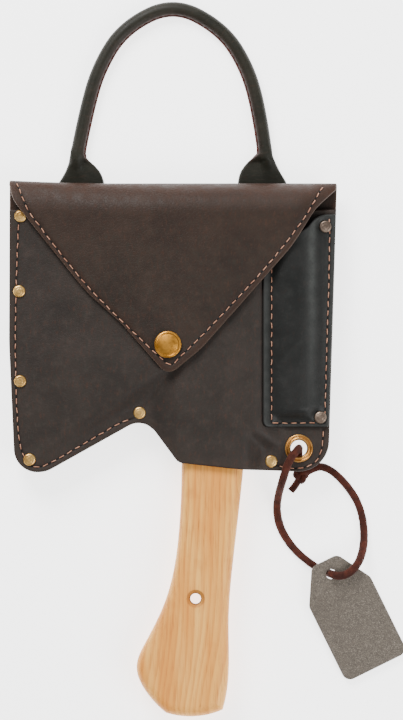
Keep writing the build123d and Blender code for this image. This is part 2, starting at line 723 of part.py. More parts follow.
with BuildPart() as axe_haft:
    with BuildSketch(Plane.XY.offset(MID_Z - HAFT_THICK / 2)):
        with BuildLine():
            left_side = Spline(
                (8.0, EYE_BOTTOM), (6.4, -60.0), (4.6, -120.0), (-4.6, -169.0), (-18.5, -198.5),
                (-25.1, -216.0), (-17.5, -235.0), (-4.5, -248.5),
            )
            bottom_end = Spline(left_side @ 1, (3.0, -250.3), (25.0, -249.7), (35.2, -246.2))
            right_side = Spline(
                bottom_end @ 1, (38.3, -232.0), (39.3, -185.0), (43.4, -134.0), (49.5, -79.0),
                (50.0, EYE_BOTTOM),
            )
            Line(right_side @ 1, left_side @ 0)
        make_face()
    extrude(amount=HAFT_THICK)
    long_edges = axe_haft.edges().filter_by(
        lambda edge: edge.length > 30 and abs(edge.center().Z - MID_Z) > 5 and edge.center().Y < 0
    )
    fillet(long_edges, radius=HAFT_ROUND)
    with BuildSketch(Plane.XZ.offset(-EYE_BOTTOM)):
        with Locations((EYE_X, MID_Z)):
            RectangleRounded(EYE_LENGTH, EYE_WIDTH, EYE_WIDTH / 2 - 0.3)
    extrude(amount=-(HAFT_TOP - EYE_BOTTOM))
    with BuildSketch(Plane.XY):
        with Locations(LANYARD_AT):
            Circle(LANYARD_R)
    extrude(amount=FAR / 10, mode=Mode.SUBTRACT)
    sink = LANYARD_SINK_R - LANYARD_R
    for face_z, step in ((MID_Z + HAFT_THICK / 2, -sink), (MID_Z - HAFT_THICK / 2, sink)):
        with BuildSketch(Plane.XY.offset(face_z)):
            with Locations(LANYARD_AT):
                Circle(LANYARD_SINK_R)
        with BuildSketch(Plane.XY.offset(face_z + step)):
            with Locations(LANYARD_AT):
                Circle(LANYARD_R)
        loft(mode=Mode.SUBTRACT)
    add(wood_wedge_shape.part, mode=Mode.SUBTRACT)
    add(steel_wedge_shape.part, mode=Mode.SUBTRACT)
axe_haft.part.label = "axe_haft"
export_step(axe_haft.part, "parts/axe_haft.step")

with BuildPart() as haft_wood_wedge:
    add(wood_wedge_shape.part)
    add(steel_wedge_shape.part, mode=Mode.SUBTRACT)
haft_wood_wedge.part.label = "haft_wood_wedge"
export_step(haft_wood_wedge.part, "parts/haft_wood_wedge.step")

with BuildPart() as haft_steel_wedge:
    add(steel_wedge_shape.part)
haft_steel_wedge.part.label = "haft_steel_wedge"
export_step(haft_steel_wedge.part, "parts/haft_steel_wedge.step")

# ---- Lace, knot and tag -----------------------------------------------------------------------------------
lace_radii = bend_radii(LACE_ROUTE, LACE_BEND)

with BuildPart() as lace:
    with BuildLine() as lace_line:
        FilletPolyline(*LACE_ROUTE, radius=lace_radii)
    with BuildSketch(Plane(origin=lace_line.line @ 0, z_dir=lace_line.line % 0)):
        Circle(LACE_R)
    sweep()
lace.part.label = "lace"
export_step(lace.part, "parts/lace.step")
print("lace radii", [round(radius, 1) for radius in lace_radii])
lace_length = lace_line.wire().length
print("lace length", round(lace_length, 1))
print("lace volume share", lace.part.volume / (math.pi * LACE_R**2 * lace_length))

with BuildPart() as lace_knot:
    with Locations(KNOT_AT):
        Sphere(KNOT_R)
    with BuildSketch(Plane(origin=KNOT_AT, z_dir=Vector(TAIL_END) - Vector(KNOT_AT))):
        Circle(TAIL_R)
    extrude(amount=(Vector(TAIL_END) - Vector(KNOT_AT)).length)
lace_knot.part.label = "lace_knot"
export_step(lace_knot.part, "parts/lace_knot.step")

tag_tilt = math.asin((TAG_HOLE_AT[2] - TAG_LIFT) / TAG_REACH)
tag_x, tag_y = TAG_DIRECTION
tag_plane = Plane(
    origin=TAG_HOLE_AT,
    x_dir=(tag_x * math.cos(tag_tilt), tag_y * math.cos(tag_tilt), -math.sin(tag_tilt)),
    z_dir=(tag_x * math.sin(tag_tilt), tag_y * math.sin(tag_tilt), math.cos(tag_tilt)),
)

with BuildPart() as tag:
    with BuildSketch(tag_plane) as tag_shape:
        Polygon(
            (-TAG_HEAD, -TAG_HEAD_HALF), (TAG_SHOULDER, -TAG_HALF), (TAG_REACH, -TAG_HALF),
            (TAG_REACH, TAG_HALF), (TAG_SHOULDER, TAG_HALF), (-TAG_HEAD, TAG_HEAD_HALF),
            align=None,
        )
        fillet(tag_shape.vertices(), radius=6)
        Circle(TAG_HOLE_R, mode=Mode.SUBTRACT)
    extrude(amount=TAG_THICK)
tag.part.label = "tag"
export_step(tag.part, "parts/tag.step")
print("tag axis", tag_plane.z_dir, "tilt", math.degrees(tag_tilt))
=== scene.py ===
import math

import bpy
import numpy as np
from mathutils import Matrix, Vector, noise
from mathutils.geometry import delaunay_2d_cdt


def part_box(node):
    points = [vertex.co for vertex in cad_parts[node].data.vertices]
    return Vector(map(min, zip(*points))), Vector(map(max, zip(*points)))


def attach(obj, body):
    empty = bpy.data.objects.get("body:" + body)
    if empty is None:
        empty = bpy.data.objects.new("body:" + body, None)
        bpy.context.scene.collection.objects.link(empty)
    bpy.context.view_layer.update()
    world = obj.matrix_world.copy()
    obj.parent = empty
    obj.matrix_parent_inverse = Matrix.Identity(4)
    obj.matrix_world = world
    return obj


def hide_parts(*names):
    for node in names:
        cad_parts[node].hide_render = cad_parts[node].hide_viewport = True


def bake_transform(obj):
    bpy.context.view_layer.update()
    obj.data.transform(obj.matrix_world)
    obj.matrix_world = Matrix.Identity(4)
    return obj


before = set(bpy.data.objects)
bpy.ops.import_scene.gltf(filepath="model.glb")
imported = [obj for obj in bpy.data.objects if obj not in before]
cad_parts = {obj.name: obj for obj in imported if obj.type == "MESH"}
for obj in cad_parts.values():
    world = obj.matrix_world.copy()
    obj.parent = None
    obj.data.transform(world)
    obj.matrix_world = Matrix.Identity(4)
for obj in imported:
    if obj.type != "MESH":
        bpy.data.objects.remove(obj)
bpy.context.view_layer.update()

MM = 0.001

# ---- Sizes in millimetres, as the frame has them ---------------------------------
LEATHER = 3.0
MID_Z = 16.0
ROOM = 13.0
SEAM_HALF = 1.5
CASE_TOP = 122.0
MOUTH_Y = 103.5
BLADE_SEAM_X, BLADE_FULL_X = -95.5, -12.0
SPINE_FULL_X, SPINE_SEAM_X = 57.0, 78.0
NOTCH_SEAM_START = (-91.0, -81.5)
NOTCH_SEAM_ANGLE = math.atan2(39.7, 71.0)
FRONT_Z = MID_Z + ROOM + LEATHER
MARGIN_TOP = MID_Z + SEAM_HALF + LEATHER
MARGIN_BOTTOM = MID_Z - SEAM_HALF - LEATHER
FOLD_Z = 14.65
BACK_BEND = 9.6             # radius of the back's bend up to the fold
FRONT_BEND = 20.5           # length of the flap's bend down from the fold
BACK_ARC = 15.0             # leather used up by each of the two bends
FRONT_ARC = 31.0

CASE_CORNERS = [
    (-114.0, CASE_TOP), (-114.4, 10.0), (-110.3, -80.3), (-88.9, -80.3), (-20.0, -41.8),
    (3.5, -73.5), (47.0, -78.3), (109.0, -80.5), (115.2, CASE_TOP),
]
CASE_RADII = [0, 150, 16.5, 20, 13.5, 8, 200, 21.6, 0]
FLAP_CORNERS = [
    (-114.6, CASE_TOP), (-111.8, 109.0), (-60.0, 45.5), (-36.0, 24.0), (-3.3, -13.0),
    (20.0, 6.0), (82.7, 76.9), (101.0, 104.5), (114.6, 117.5), (115.2, CASE_TOP),
]
FLAP_RADII = [0, 25, 90, 60, 8, 60, 90, 40, 3, 0]
POCKET_LEATHER = 2.5
POCKET_CORNERS = [
    (63.6, 84.0), (63.6, -48.7), (109.1, -48.7), (114.4, 100.6), (106.0, 100.2), (99.8, 97.6),
    (94.6, 91.6), (87.0, 86.5),
]
POCKET_RADII = [2, 4, 1.5, 2, 8, 10, 12, 12]

# Stitching lines, a few millimetres inside the edges.
LEFT_SEAM = [
    (-107.6, 97.0), (-108.8, 68.0), (-109.6, 40.0), (-110.0, 10.0), (-109.5, -20.0), (-108.6, -42.0),
    (-107.0, -59.0), (-103.9, -69.0), (-99.6, -75.0), (-93.8, -76.4), (-85.0, -73.4), (-60.8, -59.6),
    (-38.2, -46.6), (-27.0, -42.4),
]
RIGHT_SEAM = [
    (109.7, 97.0), (109.9, 86.0), (109.3, 50.0), (108.4, 22.5), (107.3, -14.6), (106.7, -36.3),
    (105.7, -49.0), (104.8, -60.8), (102.2, -70.0), (96.8, -75.0), (88.6, -77.4), (80.0, -77.2),
    (73.4, -75.6),
]
POCKET_SEAM = [
    (69.2, 82.0), (69.3, 40.0), (69.3, 0.0), (69.3, -30.0), (69.4, -43.6), (71.2, -45.6), (84.0, -45.8),
    (99.0, -45.6),
]
FLAP_SEAM = [
    (-109.2, 120.0), (-102.3, 104.5), (-92.6, 91.0), (-78.5, 73.0), (-60.0, 50.6), (-41.0, 31.0),
    (-17.6, 8.5), (-5.5, -2.4), (-2.2, -4.6), (1.0, -4.0), (5.8, 0.9), (25.6, 20.5), (57.3, 54.3),
    (73.6, 73.2), (86.3, 89.5), (97.2, 105.8), (104.9, 118.7),
]

SNAP_AT = (-3.2, 9.2)
EYELET_AT = (88.4, -63.5)
EYELET_HOLE_R = 6.3
SEAM_RIVETS = [
    (-106.2, 98.9), (-107.2, 46.4), (-106.5, -16.5), (-100.0, -71.3), (-23.0, -38.6), (69.1, -72.5),
]
POCKET_RIVETS = [(106.9, 91.6), (103.4, -41.9)]
THREAD = 0.37               # radius of the stitching thread
STITCH_PITCH = 6.4
STITCH_LENGTH = 4.3
STITCH_RINGS, STITCH_SIDES = 9, 8
HOLE_LONG, HOLE_WIDE = 1.1, 0.72    # half sizes of a needle hole
HOLE_LEVEL = -0.42
THREAD_FLATNESS, HOLE_FLATNESS = 0.85, 0.3

OUTLINE_STEP = 2.4          # longest run between points of an outline
SAME_PLACE = 1e-4
EDGE_ROWS = (0.35, 0.8, 1.4, 2.3)   # rows of mesh points inside an edge
SEAM_ROWS = (-1.3, -0.65, 0.0, 0.65, 1.3)
HOLE_ROWS = (0.6, 1.4)
LEAST_GAP = 0.3
GROOVE_HALF = 0.85
GROOVE_DEPTH = 0.5
INNER_CUT = (400.0, 130.0)  # the inner face takes a different part of the hide


# ---- Camera ----------------------------------------------------------------------
def make_camera():
    """Looks straight down on the case, framed as a tall product view."""
    data = bpy.data.cameras.new("camera")
    camera = bpy.data.objects.new("camera", data)
    bpy.context.scene.collection.objects.link(camera)
    view_height = 0.504
    distance = 8.0
    data.sensor_width = 36.0
    data.lens = data.sensor_width * distance / view_height
    camera.location = (0.0203, -0.0017, distance + MID_Z * MM)
    bpy.context.scene.camera = camera


make_camera()


# ---- Outlines --------------------------------------------------------------------
def rounded(corners, radii):
    """Points along a polygon whose corners are rounded by tangent arcs."""
    points = []
    for index, radius in enumerate(radii):
        corner = Vector(corners[index])
        if radius == 0:
            points.append(corner)
            continue
        before = (Vector(corners[index - 1]) - corner).normalized()
        after = (Vector(corners[(index + 1) % len(corners)]) - corner).normalized()
        half = before.angle(after) / 2
        centre = corner + (before + after).normalized() * (radius / math.sin(half))
        start = corner + before * (radius / math.tan(half)) - centre
        turn = math.pi - 2 * half
        if before.x * after.y - before.y * after.x > 0:
            turn = -turn
        pieces = max(3, int(radius * abs(turn) / OUTLINE_STEP))
        for piece in range(pieces + 1):
            points.append(centre + turned_by(start, turn * piece / pieces))
    return resampled(points)


def turned_by(arrow, angle):
    """A flat vector turned anticlockwise."""
    c, s = math.cos(angle), math.sin(angle)
    return Vector((arrow.x * c - arrow.y * s, arrow.x * s + arrow.y * c))


def resampled(points):
    """Fills the long runs of a closed line with points."""
    dense = []
    for start, end in zip(points, points[1:] + points[:1]):
        length = (end - start).length
        if length >= SAME_PLACE:
            pieces = max(1, math.ceil(length / OUTLINE_STEP))
            dense += [start.lerp(end, piece / pieces) for piece in range(pieces)]
    return dense


def through(points):
    """Points along a smooth line that passes through a few given places."""
    places = [Vector(point) for point in points]
    places = [places[0] * 2 - places[1]] + places + [places[-1] * 2 - places[-2]]
    line = []
    for a, b, c, d in zip(places, places[1:], places[2:], places[3:]):
        pieces = max(1, math.ceil((c - b).length / OUTLINE_STEP))
        for piece in range(pieces):
            t = piece / pieces
            line.append(0.5 * (
                2 * b + (c - a) * t + (2 * a - 5 * b + 4 * c - d) * t**2 + (3 * b - a - 3 * c + d) * t**3
            ))
    return line + [places[-2]]


def inset(points, distance, close=True):
    """The same line moved to its left by a distance."""
    moved = []
    count = len(points)
    for index, point in enumerate(points):
        if close:
            ahead, behind = points[(index + 1) % count], points[index - 1]
        else:
            ahead, behind = points[min(index + 1, count - 1)], points[max(index - 1, 0)]
        along = (ahead - behind).normalized()
        moved.append(point + Vector((-along.y, along.x)) * distance)
    return moved


def distances(places, line, close=True):
    """Distance of each place from a line of points."""
    line = np.array([tuple(point) for point in line])
    a = line if close else line[:-1]
    b = np.roll(line, -1, axis=0) if close else line[1:]
    best = np.full(len(places), 1e9)
    for start, end in zip(a, b):
        run = end - start
        share = np.clip(((places - start) @ run) / max(run @ run, 1e-9), 0, 1)
        best = np.minimum(best, np.linalg.norm(places - start - share[:, None] * run, axis=1))
    return best


def within(places, outline):
    """Which places lie inside a closed line."""
    x, y = places[:, 0], places[:, 1]
    inside = np.zeros(len(places), dtype=bool)
    for a, b in zip(outline, outline[1:] + outline[:1]):
        if abs(a.y - b.y) < 1e-9:
            continue
        crosses = (a.y > y) != (b.y > y)
        inside ^= crosses & (x < (b.x - a.x) * (y - a.y) / (b.y - a.y) + a.x)
    return inside


# ---- Shapes of the leather -------------------------------------------------------
def smooth_min(a, b, reach):
    """The lower of two heights, with the crease between them rounded off."""
    share = np.clip(0.5 + 0.5 * (b - a) / reach, 0, 1)
    return b * (1 - share) + a * share - reach * share * (1 - share)


def smooth_max(a, b, reach):
    return -smooth_min(-a, -b, reach)


def ramp(x, start, end, low, high, reach=2.0):
    """Height that climbs from low at start to high at end, rounded at both."""
    slope = (high - low) / (end - start)
    climb = low + (x - start) * slope
    return smooth_max(smooth_min(climb, high, reach), low, reach * 0.6)


def half_depth(x, y):
    """Half the clear depth between the panels."""
    seam, full = SEAM_HALF, ROOM
    blade_side = ramp(x, BLADE_SEAM_X, BLADE_FULL_X, seam, full, 3.0)
    spine_side = ramp(x, SPINE_SEAM_X, SPINE_FULL_X, seam, full, 3.0)
    across = smooth_min(blade_side, spine_side, 2.0)
    dx, dy = x - NOTCH_SEAM_START[0], y - NOTCH_SEAM_START[1]
    from_seam = dy * math.cos(NOTCH_SEAM_ANGLE) - dx * math.sin(NOTCH_SEAM_ANGLE)
    beside_notch = ramp(from_seam, 9.0, 24.3, seam, full, 3.0)
    by_haft = ramp(x, -16.0, 6.0, seam, full, 3.0)
    notch = smooth_max(beside_notch, by_haft, 2.0)
    beside_eyelet = ramp(x, 64.0, 50.0, seam, full, 3.0)
    above_eyelet = ramp(y, -64.0, -50.0, seam, full, 3.0)
    corner = smooth_max(beside_eyelet, above_eyelet, 2.0)
    return np.maximum(smooth_min(smooth_min(across, notch, 2.0), corner, 2.0), seam)


def wander(x, y, size, seed):
    """Slow unevenness, between about -1 and 1."""
    return np.array([
        noise.noise(Vector((px / size, py / size, seed))) for px, py in zip(x.ravel(), y.ravel())
    ]).reshape(x.shape) * 1.6


def front_surface(u, v):
    """Outer face of the front panel."""
    swell = half_depth(u, v)
    z = MID_Z + swell + LEATHER
    soft = np.clip((swell - SEAM_HALF) / 4.0, 0, 1)
    # The leather takes a faint print of the head's beard, which lies under it.
    z = z - 0.5 * soft * np.exp(-(((u + 30) * 0.35 + (v - 8)) / 16.0) ** 2) * (u < 20)
    z = z + 0.32 * soft * wander(u, v, 46.0, 3.0)
    return np.stack([u, v, z], axis=-1)


def flap_height(u, v):
    """Outer face of the flap where it lies flat over the front and the pocket."""
    left = ramp(u, -100.0, BLADE_FULL_X, 25.7, 35.4, 3.0)
    over_pocket = 35.5 - np.clip(u - SPINE_FULL_X, 0, 60) * 0.022
    right = 33.8 - (u - 95.0) * 0.62
    height = smooth_min(smooth_min(left, over_pocket, 0.6), right, 2.5)
    return height + 0.22 * wander(u, v, 52.0, 9.0)


def back_and_flap_surface(u, v):
    """Outer face of the one piece of leather that is the back, the fold and the flap.

    v runs up the back, over the fold and down the flap, so it is larger than the height.
    """
    first = CASE_TOP - BACK_BEND
    second = first + BACK_ARC
    third = second + FRONT_ARC
    back_y = np.minimum(v, first)
    swell = half_depth(u, back_y)
    flat_x = np.minimum(ramp(u, -96.0, -84.0, SEAM_HALF, ROOM), ramp(u, 96.0, 84.0, SEAM_HALF, ROOM))
    over = np.clip((back_y - 92.0) / 10.0, 0, 1)
    swell = np.maximum(swell, SEAM_HALF + (flat_x - SEAM_HALF) * over)
    z_back = MID_Z - swell - LEATHER
    step_up = ramp(back_y, 96.0, 101.0, -8.0, 5.0, 1.0)
    z_back = np.maximum(np.maximum(z_back, step_up), 0.0)
    a = np.clip((v - first) / BACK_ARC, 0, 1) * math.pi / 2
    b = np.clip((v - second) / FRONT_ARC, 0, 1) * math.pi / 2
    flap_y = CASE_TOP - FRONT_BEND - np.maximum(v - third, 0)
    z_flap = flap_height(u, flap_y)
    on_back = v <= second
    y = np.where(
        on_back, back_y + BACK_BEND * np.sin(a), flap_y + FRONT_BEND * np.cos(b)
    )
    z = np.where(
        on_back, FOLD_Z - (FOLD_Z - z_back) * np.cos(a), FOLD_Z + (z_flap - FOLD_Z) * np.sin(b)
    )
    # The fold runs up a little towards the left corner.
    lift = 2.0 * np.clip((-u - 50.0) / 64.0, 0, 1) ** 1.5 * np.clip((y - 60.0) / 60.0, 0, 1)
    return np.stack([u, y + lift, z], axis=-1)


def flap_v(y):
    """How far along the leather a point of the flap is, from its place y."""
    first = CASE_TOP - BACK_BEND
    third = first + BACK_ARC + FRONT_ARC
    level = CASE_TOP - FRONT_BEND
    if y <= level:
        return third + level - y
    b = math.acos(min(1.0, (y - level) / FRONT_BEND))
    return first + BACK_ARC + FRONT_ARC * b / (math.pi / 2)


def back_v(y):
    """How far along the leather a point of the back is, from its place y."""
    first = CASE_TOP - BACK_BEND
    if y <= first:
        return y
    return first + BACK_ARC * math.asin(min(1.0, (y - first) / BACK_BEND)) / (math.pi / 2)


def pocket_surface(u, v):
    """Outer face of the tool pocket: flat margins, and a long bulge with a rounded shoulder."""
    foot = MARGIN_TOP + POCKET_LEATHER
    cover = MID_Z + half_depth(u, np.zeros_like(v)) + LEATHER + POCKET_LEATHER
    rise = 27.3 + (u - 70.0) * 0.5
    crown = 31.0 - ((u - 87.0) / 10.0) ** 2 * 0.5
    shoulder = 29.8 - (u - 96.0) * 0.72
    bulge = smooth_min(smooth_min(rise, crown, 1.5), shoulder, 3.0)
    end = foot + (v + 43.6) * 1.35
    bulge = smooth_min(bulge, end, 3.0)
    bulge = bulge + 0.25 * wander(u, v, 30.0, 5.0)
    # A shallow crease runs down the bulge where the stone's edge presses.
    bulge = bulge - 0.35 * np.exp(-((u - 92.0) / 1.6) ** 2) * np.clip((70 - v) / 90, 0, 1)
    # The leather is pulled flat round each rivet.
    for x, y in POCKET_RIVETS:
        bulge = smooth_min(bulge, foot + 1.3 * (np.hypot(u - x, v - y) - 4.9), 1.0)
    margin = np.where(u < 74.0, np.where(v > -44.0, cover, np.maximum(cover, foot)), foot)
    height = smooth_max(bulge, margin, 1.2)
    return np.stack([u, v, height], axis=-1)


# ---- Building sheets of leather --------------------------------------------------
def circle(centre, radius, count=28):
    """Points round a circle."""
    angles = [2 * math.pi * k / count for k in range(count)]
    return [
        Vector((centre[0] + radius * math.cos(a), centre[1] + radius * math.sin(a))) for a in angles
    ]


def filled(outline, seams, spacing, holes):
    """Flat triangles inside an outline, with rows of points along its edge, seams and holes."""
    rows = [point for depth in EDGE_ROWS for point in inset(outline, depth)]
    rows += [point for line in seams for offset in SEAM_ROWS for point in inset(line, offset, False)]
    rows += [point for hole in holes for depth in HOLE_ROWS for point in inset(hole, -depth)]
    rows = np.array([tuple(point) for point in rows])
    loops = [np.array([tuple(point) for point in loop]) for loop in [outline, *holes]]
    low, high = loops[0].min(axis=0), loops[0].max(axis=0)
    row_step = spacing * math.sqrt(3) / 2
    grid = np.array([
        (low[0] + spacing / 2 * (j % 2) + i * spacing, low[1] + j * row_step)
        for j in range(int((high[1] - low[1]) / row_step) + 1)
        for i in range(int((high[0] - low[0]) / spacing) + 1)
    ])
    clear = within(grid, outline) & (distances(grid, outline) > EDGE_ROWS[-1] + spacing * 0.5)
    inside_rows = within(rows, outline) & (distances(rows, outline) > LEAST_GAP)
    for hole in holes:
        clear &= ~within(grid, hole) & (distances(grid, hole) > HOLE_ROWS[-1] + spacing * 0.5)
        inside_rows &= ~within(rows, hole) & (distances(rows, hole) > LEAST_GAP)
    for line in seams:
        clear &= distances(grid, line, False) > SEAM_ROWS[-1] + spacing * 0.4
    points = [Vector(point) for point in np.concatenate(loops + [rows[inside_rows], grid[clear]])]
    edges, first, rings = [], 0, []
    for size in [len(loop) for loop in loops]:
        edges += [(first + i, first + (i + 1) % size) for i in range(size)]
        rings.append(range(first, first + size))
        first += size
    flat, _, faces, origins, _, _ = delaunay_2d_cdt(points, edges, [], 0, SAME_PLACE, True)
    order = {source: index for index, sources in enumerate(origins) for source in sources}
    rings = [[order[i] for i in ring] for ring in rings]
    flat = np.array([tuple(point) for point in flat])
    middles = np.array([flat[list(face)].mean(axis=0) for face in faces])
    keep = within(middles, outline)
    for hole in holes:
        keep &= ~within(middles, hole)
    return flat, [face for face, kept in zip(faces, keep) if kept], rings


def make_object(name, points, faces, material):
    """A mesh object from points in millimetres."""
    mesh = bpy.data.meshes.new(name)
    mesh.from_pydata([tuple(point * MM) for point in np.asarray(points)], [], faces)
    mesh.validate()
    mesh.update()
    mesh.shade_smooth()
    mesh.materials.append(material)
    piece = bpy.data.objects.new(name, mesh)
    bpy.context.scene.collection.objects.link(piece)
    return piece


def store(mesh, cut, **shares):
    """Keeps what a leather's material needs: shares at the points, and where they lie on the hide."""
    for name, values in shares.items():
        attribute = mesh.attributes.new(name, "FLOAT", "POINT")
        attribute.data.foreach_set("value", np.asarray(values, dtype=np.float32))
    layer = mesh.uv_layers.new(name="cut")
    corner_points = np.zeros(len(mesh.loops), dtype=np.int32)
    mesh.loops.foreach_get("vertex_index", corner_points)
    layer.data.foreach_set("uv", (cut * MM)[corner_points].ravel().astype(np.float32))


def spline_places(name, route, steps):
    """Points along a NURBS curve near a route, all in metres."""
    data = bpy.data.curves.new(name, "CURVE")
    data.dimensions = "3D"
    spline = data.splines.new("NURBS")
    spline.points.add(len(route) - 1)
    for point, place in zip(spline.points, route):
        point.co = (*place, 1.0)
    spline.order_u = 3
    spline.use_endpoint_u = True
    spline.resolution_u = steps
    holder = bpy.data.objects.new(name, data)
    mesh = bpy.data.meshes.new_from_object(holder)
    places = [Vector(vertex.co) for vertex in mesh.vertices]
    bpy.data.objects.remove(holder)
    bpy.data.curves.remove(data)
    bpy.data.meshes.remove(mesh)
    return places


def face_normals(surface, u, v, facing):
    """Outward directions of a surface, and its directions along u and v."""
    reach = 0.4
    across = surface(u + reach, v) - surface(u - reach, v)
    along = surface(u, v + reach) - surface(u, v - reach)
    normal = np.cross(across, along) * facing
    normal /= np.maximum(np.linalg.norm(normal, axis=1), 1e-9)[:, None]
    return normal, across, along


def leather_sheet(
    name, outline, surface, thickness, material, seams, worn=None, spacing=2.6, facing=1, holes=()
):
    """A sheet of leather: two faces, rounded edges, and a groove along each seam."""
    flat, faces, rings = filled(outline, seams, spacing, holes)
    u, v = flat[:, 0], flat[:, 1]
    place = surface(u, v)
    normal, _, _ = face_normals(surface, u, v, facing)
    depth = distances(flat, outline)
    radius = thickness * 0.36
    inner = np.clip(radius - depth, 0, radius)
    rounding = radius - np.sqrt(radius**2 - inner**2)
    groove = np.zeros(len(flat))
    for line in seams:
        groove = np.maximum(groove, np.exp(-(distances(flat, line, False) / GROOVE_HALF) ** 2))
    sink = rounding + GROOVE_DEPTH * groove
    outer_face = place - normal * sink[:, None]
    inner_face = place - normal * (thickness - sink)[:, None]
    count = len(flat)
    top = [tuple(face) if facing > 0 else tuple(reversed(face)) for face in faces]
    bottom = [tuple(index + count for index in reversed(face)) for face in top]
    wall = []
    for number, ring in enumerate(rings):
        for a, b in zip(ring, ring[1:] + ring[:1]):
            turned_in = (facing > 0) == (number == 0)
            wall.append((a, a + count, b + count, b) if turned_in else (b, b + count, a + count, a))
    piece = make_object(name, np.concatenate([outer_face, inner_face]), top + bottom + wall, material)
    wear = np.clip(1 - depth / 7.0, 0, 1) * 0.55
    # The worn shares add the fold's wear, and on the pocket a painted highlight along with its wear.
    if worn is not None:
        wear = np.maximum(wear, worn(u, v))
    store(
        piece.data, np.concatenate([flat, flat + np.array(INNER_CUT)]),
        edge=np.tile(np.clip(1 - depth / 0.9, 0, 1), 2), groove=np.tile(groove, 2), wear=np.tile(wear, 2),
    )
    return piece


# ---- Node helpers ----------------------------------------------------------------
def srgb(red, green, blue):
    """Linear colour from 0-255 display values."""
    def linear(value):
        value /= 255
        return value / 12.92 if value <= 0.04045 else ((value + 0.055) / 1.055) ** 2.4
    return (linear(red), linear(green), linear(blue), 1.0)


class Nodes:
    """Short ways to add and join the nodes of one material."""

    def __init__(self, name):
        self.material = bpy.data.materials.new(name)
        self.material.use_nodes = True
        self.tree = self.material.node_tree
        self.shader = self.tree.nodes["Principled BSDF"]

    def add(self, kind, inputs=None, **settings):
        node = self.tree.nodes.new(kind)
        for key, value in settings.items():
            setattr(node, key, value)
        for key, value in (inputs or {}).items():
            self.feed(node.inputs[key], value)
        return node

    def feed(self, socket, value):
        """Joins or sets a socket; a colour may be given as 0-255 display values."""
        if isinstance(value, bpy.types.NodeSocket):
            self.tree.links.new(value, socket)
        elif socket.type == "RGBA" and len(value) == 3:
            socket.default_value = srgb(*value)
        else:
            socket.default_value = value

    def place(self, use_uv, scale=(1.0, 1.0, 1.0)):
        """Coordinates in metres, on the cut sheet or in the frame."""
        if use_uv:
            source = self.add("ShaderNodeUVMap", uv_map="cut").outputs["UV"]
        else:
            source = self.add("ShaderNodeTexCoord").outputs["Object"]
        return self.add("ShaderNodeMapping", {"Vector": source, "Scale": scale}).outputs["Vector"]

    def noise(self, vector, size_mm, detail=4.0, roughness=0.55, distortion=0.0):
        node = self.add("ShaderNodeTexNoise", {
            "Vector": vector, "Scale": 1000.0 / size_mm, "Detail": detail,
            "Roughness": roughness, "Distortion": distortion,
        })
        return node.outputs["Fac"]

    def grain(self, stretch, *noise_settings, use_uv=False):
        """Noise drawn out along Y."""
        return self.noise(self.place(use_uv, (1.0, stretch, 1.0)), *noise_settings)

    def cells(self, vector, size_mm, feature):
        inputs = {"Vector": vector, "Scale": 1000.0 / size_mm}
        return self.add("ShaderNodeTexVoronoi", inputs, feature=feature).outputs["Distance"]

    def band(self, value, low, high, to_low=0.0, to_high=1.0):
        node = self.add("ShaderNodeMapRange", {
            "Value": value, "From Min": low, "From Max": high, "To Min": to_low, "To Max": to_high,
        }, interpolation_type="SMOOTHSTEP")
        return node.outputs["Result"]

    def math(self, operation, a, b=0.0):
        node = self.add("ShaderNodeMath", operation=operation)
        self.feed(node.inputs[0], a)
        self.feed(node.inputs[1], b)
        return node.outputs[0]

    def mix(self, share, a, b):
        node = self.add("ShaderNodeMix", data_type="RGBA", blend_type="MIX")
        self.feed(node.inputs["Factor"], share)
        self.feed(node.inputs["A"], a)
        self.feed(node.inputs["B"], b)
        return node.outputs["Result"]

    def tint(self, colour, share, amount, tone):
        """A colour taken part of the way to another tone."""
        return self.mix(self.math("MULTIPLY", share, amount), colour, tone)

    def stored(self, name):
        return self.add("ShaderNodeAttribute", attribute_name=name).outputs["Fac"]

    def bump(self, height, strength, distance_mm, below=None):
        inputs = {"Height": height, "Strength": strength, "Distance": distance_mm * MM}
        if below is not None:
            inputs["Normal"] = below
        return self.add("ShaderNodeBump", inputs).outputs["Normal"]

    def finish(self, **sockets):
        for key, value in sockets.items():
            self.feed(self.shader.inputs[key.replace("_", " ")], value)
        return self.material


